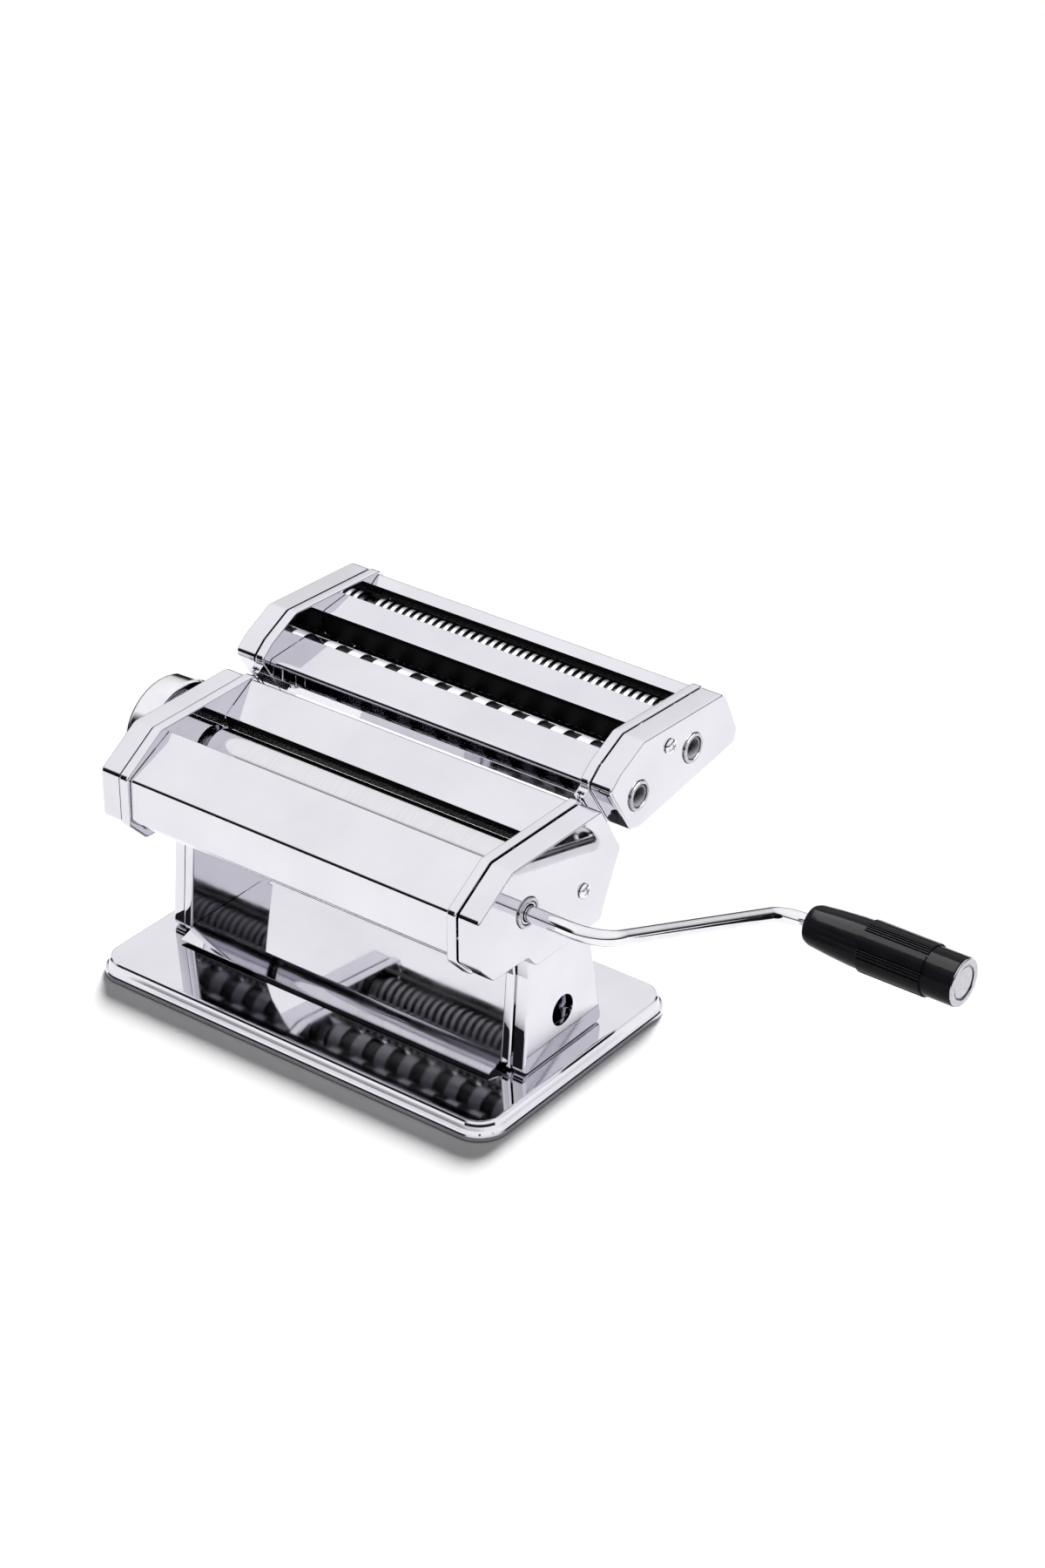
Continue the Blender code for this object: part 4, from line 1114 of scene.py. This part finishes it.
class MACHINE_OT_cutter_sides(bpy.types.Operator):
    """The cutter head's frames with their hooks, its covers and its crank sockets"""

    bl_idname = "machine.cutter_sides"
    bl_label = "Cutter head sides"

    def execute(self, context):
        for side_name, side in (("left", -1), ("right", 1)):
            body = beaded_plate(f"fine_cutter_frame_{side_name}", CUTTER_OUTLINE, side, 0.5)
            driven = BUSH_OUTER + GAP if side > 0 else CUTTER_JOURNAL_HOLE
            holes = [(WIDE_AXIS, driven), (FINE_AXIS, driven)]
            holes += [(mate(axis), CUTTER_JOURNAL_HOLE) for axis in (WIDE_AXIS, FINE_AXIS)]
            holes += [(CUTTER_TIE, 2.3), (CUTTER_SCREW, 1.8)]
            drilled(body, holes, side * (FRAME_INNER - 1), side * (FRAME_OUTER + 1))
            combined(body, [hook(side)], "UNION")
            add_piece(body, "polished_steel", "cutter_head", [f"cutter_frame_{side_name}"])
            shell = pressed_solid(f"fine_cutter_cover_{side_name}", CUTTER_OUTLINE, side, COVER_OUTER)
            open_shell(shell, side)
            holes = [(CUTTER_SCREW, 2.1)]
            if side > 0:
                holes += [(WIDE_AXIS, BUSH_OUTER + GAP), (FINE_AXIS, BUSH_OUTER + GAP)]
            drilled(shell, holes, side * (STAND_OUTER - 2.5), side * (COVER_OUTER + 2.0))
            add_piece(shell, "polished_steel", "cutter_head", [f"cutter_cover_{side_name}"])
        for name, axis in (("wide", WIDE_AXIS), ("fine", FINE_AXIS)):
            bore = CUTTER_JOURNAL_HOLE
            ring = [(78.2, bore), (95.9, bore), (95.9, BUSH_OUTER), (78.2, BUSH_OUTER)]
            add_turned(f"cutter_socket_{name}", ring, axis, "zinc_bush", "cutter_head", 64, 0.4)
        refinish("polished_steel", "attachment_rail_left", "attachment_rail_right")
        return {"FINISHED"}


def hook(side):
    """The bent channel that slides on the attachment rail, extruded up the slope."""
    middle = (FRAME_INNER + FRAME_OUTER) / 2
    half = [
        (0.65, 2.3), (2.2, 2.3), (2.2, 6.7), (-2.2, 6.7), (-2.2, 2.3), (-0.65, 2.3), (-0.65, 3.3),
        (-1.65, 3.3), (-1.65, 4.7), (1.65, 4.7), (1.65, 3.3), (0.65, 3.3),
    ]
    low, high = HOOK_SPAN
    points = []
    for x, out in half:
        place = SLOPE_FOOT + SLOPE_OUT * out + SLOPE_UP * low + Vector((side * (middle - x), 0, 0))
        points.append(at(*place))
    return mesh_object("hook", block(points, [0.0] * len(points), SLOPE_UP * (high - low) * MM))


class MACHINE_OT_cutter_panels(bpy.types.Operator):
    """Bent panels over the cutting rollers and the strippers below them"""

    bl_idname = "machine.cutter_panels"
    bl_label = "Cutter head panels"

    def execute(self, context):
        front = [(31.5, 98.3), (28.0, 104.5), (26.2, 113.0), (48.8, 114.4), (48.8, 112.9)]
        middle = [(61.9, 110.2), (60.2, 121.3), (76.0, 123.3), (76.0, 121.6)]
        rear = [(91.9, 117.6), (91.2, 120.3), (97.7, 124.4), (107.2, 104.2), (105.4, 100.6)]
        # The middle and rear panels' lips into the slots, and these panels' undersides, get painted
        # shade
        for name, line, lip in (
            ("front", front, None),
            ("middle", middle, ((59.0, 109.0), (62.6, 120.8))),
            ("rear", rear, ((90.0, 116.0), (92.6, 120.9))),
        ):
            add_panel(f"cutter_{name}_panel", line[::-1], 0.6, "cutter_head", lip)
        refinish("nylon", "wide_comb", "fine_comb")
        return {"FINISHED"}


class MACHINE_OT_cutters(bpy.types.Operator):
    """The wide and fine cutting rollers and their gears"""

    bl_idname = "machine.cutters"
    bl_label = "Cutting rollers"

    def execute(self, context):
        settings = context.scene.machine_turned
        for name, axis, strip, gap in (
            ("wide", WIDE_AXIS, settings.wide_strip / MM, 0.3),
            ("fine", FINE_AXIS, settings.fine_strip / MM, 0.16),
        ):
            driven = socket_roller(discs(strip, gap, 0.0), 95.3)
            add_disc_roller(name, "front", driven, axis)
            plain = [(FRAME_OUTER, 0), (FRAME_OUTER, JOURNAL), (ROLLER_END, JOURNAL)]
            plain += discs(strip, gap, strip)
            plain += [(-ROLLER_END, JOURNAL), (GEAR_END, JOURNAL), (GEAR_END, 0)]
            add_disc_roller(name, "rear", plain, mate(axis))
            refinish("gear_steel", f"{name}_gear_front", f"{name}_gear_rear")
        return {"FINISHED"}


def add_disc_roller(width, place, profile, axis):
    """A roller of cutting discs, in a finish centred on its own axis."""
    name = f"{width}_cutter_{place}"
    roller = add_turned(name, profile, axis, "ground_steel", f"{width}_{place}", 48)
    # The second colour, near black, is painted shade in the grooves
    roller.data.materials[0] = cutter_steel(
        f"ground_cutter_steel_{width}_{place}", axis, "7C7B80", "080709"
    )


def discs(strip, gap, shift):
    """The section of discs and grooves of equal width; the mate's are shifted by one strip."""
    half = (strip - gap) / 2
    profile = [(ROLLER_END, CUTTER_CORE)]
    reach = int(ROLLER_END / strip / 2) + 1
    for i in range(reach, -reach - 1, -1):
        middle = 2 * i * strip + shift
        if abs(middle) + half < ROLLER_END:
            profile += [
                (middle + half, CUTTER_CORE), (middle + half, CUTTER_RADIUS),
                (middle - half, CUTTER_RADIUS), (middle - half, CUTTER_CORE),
            ]
    return profile + [(-ROLLER_END, CUTTER_CORE)]


# Stage


class MACHINE_OT_stage(bpy.types.Operator):
    """White floor, soft studio surround, lights and camera"""

    bl_idname = "machine.stage"
    bl_label = "Stage"

    def execute(self, context):
        add_floor()
        add_surround(context.scene)
        add_lights()
        add_camera(context.scene)
        context.scene.view_settings.view_transform = "Standard"
        return {"FINISHED"}


def add_floor():
    work = bmesh.new()
    bmesh.ops.create_circle(work, cap_ends=True, segments=96, radius=2.6)
    floor = mesh_object("studio_floor", work)
    made, tree, shader, place = surface("matt_white_paper", 0.0)
    shader.inputs["Specular IOR Level"].default_value = 0.0
    grain = cloudy(tree, place, 300.0, 2.0, 0.0, 1.0)
    tree.links.new(tint(tree, grain, "F6F6F6", "F7F7F7"), shader.inputs["Base Color"])
    shader.inputs["Roughness"].default_value = 1.0
    floor.data.materials.append(made)


def add_surround(scene):
    """A bright studio with a dark belt near the horizon and a dark corner in front on the left."""
    world = bpy.data.worlds.new("studio")
    scene.world = world
    world.use_nodes = True
    tree = world.node_tree
    direction = add_node(tree, "ShaderNodeTexCoord").outputs["Generated"]
    height = add_node(tree, "ShaderNodeSeparateXYZ", [("Vector", direction)]).outputs["Z"]
    level = add_node(tree, "ShaderNodeMapRange", [
        ("Value", height), ("From Min", -1.0), ("From Max", 1.0),
    ])
    ramp = add_node(tree, "ShaderNodeValToRGB", [("Fac", level.outputs["Result"])])
    stops = ramp.color_ramp.elements
    stops[0].position, stops[0].color = 0.0, (0.9, 0.9, 0.9, 1)
    stops[1].position, stops[1].color = 1.0, (1.05, 1.05, 1.05, 1)
    for place, grey in ((0.44, 0.6), (0.47, 0.02), (0.575, 0.02), (0.64, 0.72), (0.74, 0.97)):
        stop = stops.new(place)
        stop.color = (grey, grey, grey * 1.01, 1)
    towards = Vector(DARK_CORNER).normalized()
    facing = add_node(tree, "ShaderNodeVectorMath", operation="DOT_PRODUCT")
    tree.links.new(direction, facing.inputs[0])
    facing.inputs[1].default_value = towards
    strength = add_node(tree, "ShaderNodeMapRange", [
        ("Value", facing.outputs["Value"]), ("From Min", math.cos(CORNER_EDGES[0])),
        ("From Max", math.cos(CORNER_EDGES[1])), ("To Min", STUDIO_STRENGTH), ("To Max", 0.02),
    ])
    background = tree.nodes["Background"]
    tree.links.new(ramp.outputs["Color"], background.inputs["Color"])
    rays = add_node(tree, "ShaderNodeLightPath")
    on_matt = add_node(tree, "ShaderNodeMapRange", [
        ("Value", rays.outputs["Is Diffuse Ray"]), ("To Min", 1.0), ("To Max", MATT_SHARE),
    ])
    power = add_node(tree, "ShaderNodeMath", [
        (0, strength.outputs["Result"]), (1, on_matt.outputs["Result"]),
    ], operation="MULTIPLY")
    tree.links.new(power.outputs[0], background.inputs["Strength"])
    backdrop = add_node(tree, "ShaderNodeBackground", [("Color", (1, 1, 1, 1)), ("Strength", 1.2)])
    mixed = add_node(tree, "ShaderNodeMixShader", [("Fac", rays.outputs["Is Camera Ray"])])
    tree.links.new(background.outputs[0], mixed.inputs[1])
    tree.links.new(backdrop.outputs[0], mixed.inputs[2])
    tree.links.new(mixed.outputs[0], tree.nodes["World Output"].inputs["Surface"])


def add_lights():
    """A low sun on the floor that only the base shades, and a softbox each for handle and cutters."""
    objects = bpy.data.objects
    cutters = []
    for width in ("wide", "fine"):
        names = (f"{width}_cutter_front", f"{width}_cutter_rear", f"cutter_socket_{width}")
        cutters += [objects[f"fine_{name}"] for name in names]
    for name, kind, place, size, power, lit in (
        ("floor_sun", "SUN", (-397, 852, 342), math.radians(24), 10.4, [objects["studio_floor"]]),
        ("gleam_softbox", "AREA", (-420, 60, 1150), 1.1, 50.0, [objects["fine_handle_grip"]]),
        ("slot_softbox", "AREA", (0, 130, 560), 0.7, 30.0, cutters),
    ):
        data = bpy.data.lights.new(name, kind)
        data.energy = power
        if kind == "SUN":
            data.angle = size
        else:
            data.size = size
        light = objects.new(name, data)
        spot = at(*place)
        aim = (spot - at(0, 0, 0)).to_track_quat("Z", "Y").to_matrix().to_4x4()
        light.matrix_world = Matrix.Translation(spot) @ aim
        bpy.context.scene.collection.objects.link(light)
        light.light_linking.receiver_collection = collection_of(f"{name}_lights", lit)
        if kind == "SUN":
            base = [objects["fine_base_plate"]]
            light.light_linking.blocker_collection = collection_of("base_only", base)


def collection_of(name, pieces):
    made = bpy.data.collections.new(name)
    for piece in pieces:
        made.objects.link(piece)
    return made


def add_camera(scene):
    data = bpy.data.cameras.new("camera")
    data.sensor_width = 36.0
    data.lens = CAMERA_LENS
    data.clip_end = 100.0
    camera = bpy.data.objects.new("camera", data)
    turn = Matrix.Rotation(CAMERA_AZIMUTH, 4, "Z")
    turn @= Matrix.Rotation(math.pi / 2 - CAMERA_ELEVATION, 4, "X")
    back = Matrix.Translation((0, 0, CAMERA_DISTANCE))
    camera.matrix_world = Matrix.Translation(at(*CAMERA_AIM)) @ turn @ back
    scene.collection.objects.link(camera)
    scene.camera = camera


# Panel and registration

OPERATORS = [
    MACHINE_OT_base, MACHINE_OT_side_frames, MACHINE_OT_side_covers, MACHINE_OT_panels,
    MACHINE_OT_rollers, MACHINE_OT_adjuster, MACHINE_OT_crank, MACHINE_OT_fixings,
    MACHINE_OT_cutter_sides, MACHINE_OT_cutter_panels, MACHINE_OT_cutters, MACHINE_OT_stage,
]


class MACHINE_PT_pieces(bpy.types.Panel):
    """The machine's settings and the operators that make its pieces"""

    bl_label = "Pasta machine"
    bl_idname = "MACHINE_PT_pieces"
    bl_space_type = "VIEW_3D"
    bl_region_type = "UI"
    bl_category = "Pasta machine"

    def draw(self, context):
        for group in ("machine_sheet", "machine_turned", "machine_finishes"):
            settings = getattr(context.scene, group)
            box = self.layout.box()
            for name in settings.__annotations__:
                box.prop(settings, name)
        for operator in OPERATORS:
            self.layout.operator(operator.bl_idname)


SETTINGS = {
    "machine_sheet": SheetSettings,
    "machine_turned": TurnedSettings,
    "machine_finishes": FinishSettings,
}


def register():
    for settings in SETTINGS.values():
        bpy.utils.register_class(settings)
    for name, settings in SETTINGS.items():
        setattr(bpy.types.Scene, name, bpy.props.PointerProperty(type=settings))
    for operator in OPERATORS:
        bpy.utils.register_class(operator)
    bpy.utils.register_class(MACHINE_PT_pieces)


def unregister():
    bpy.utils.unregister_class(MACHINE_PT_pieces)
    for operator in reversed(OPERATORS):
        bpy.utils.unregister_class(operator)
    for name, settings in SETTINGS.items():
        delattr(bpy.types.Scene, name)
        bpy.utils.unregister_class(settings)


def main():
    register()
    for operator in OPERATORS:
        group, name = operator.bl_idname.split(".")
        getattr(getattr(bpy.ops, group), name)()


if __name__ == "__main__":
    main()
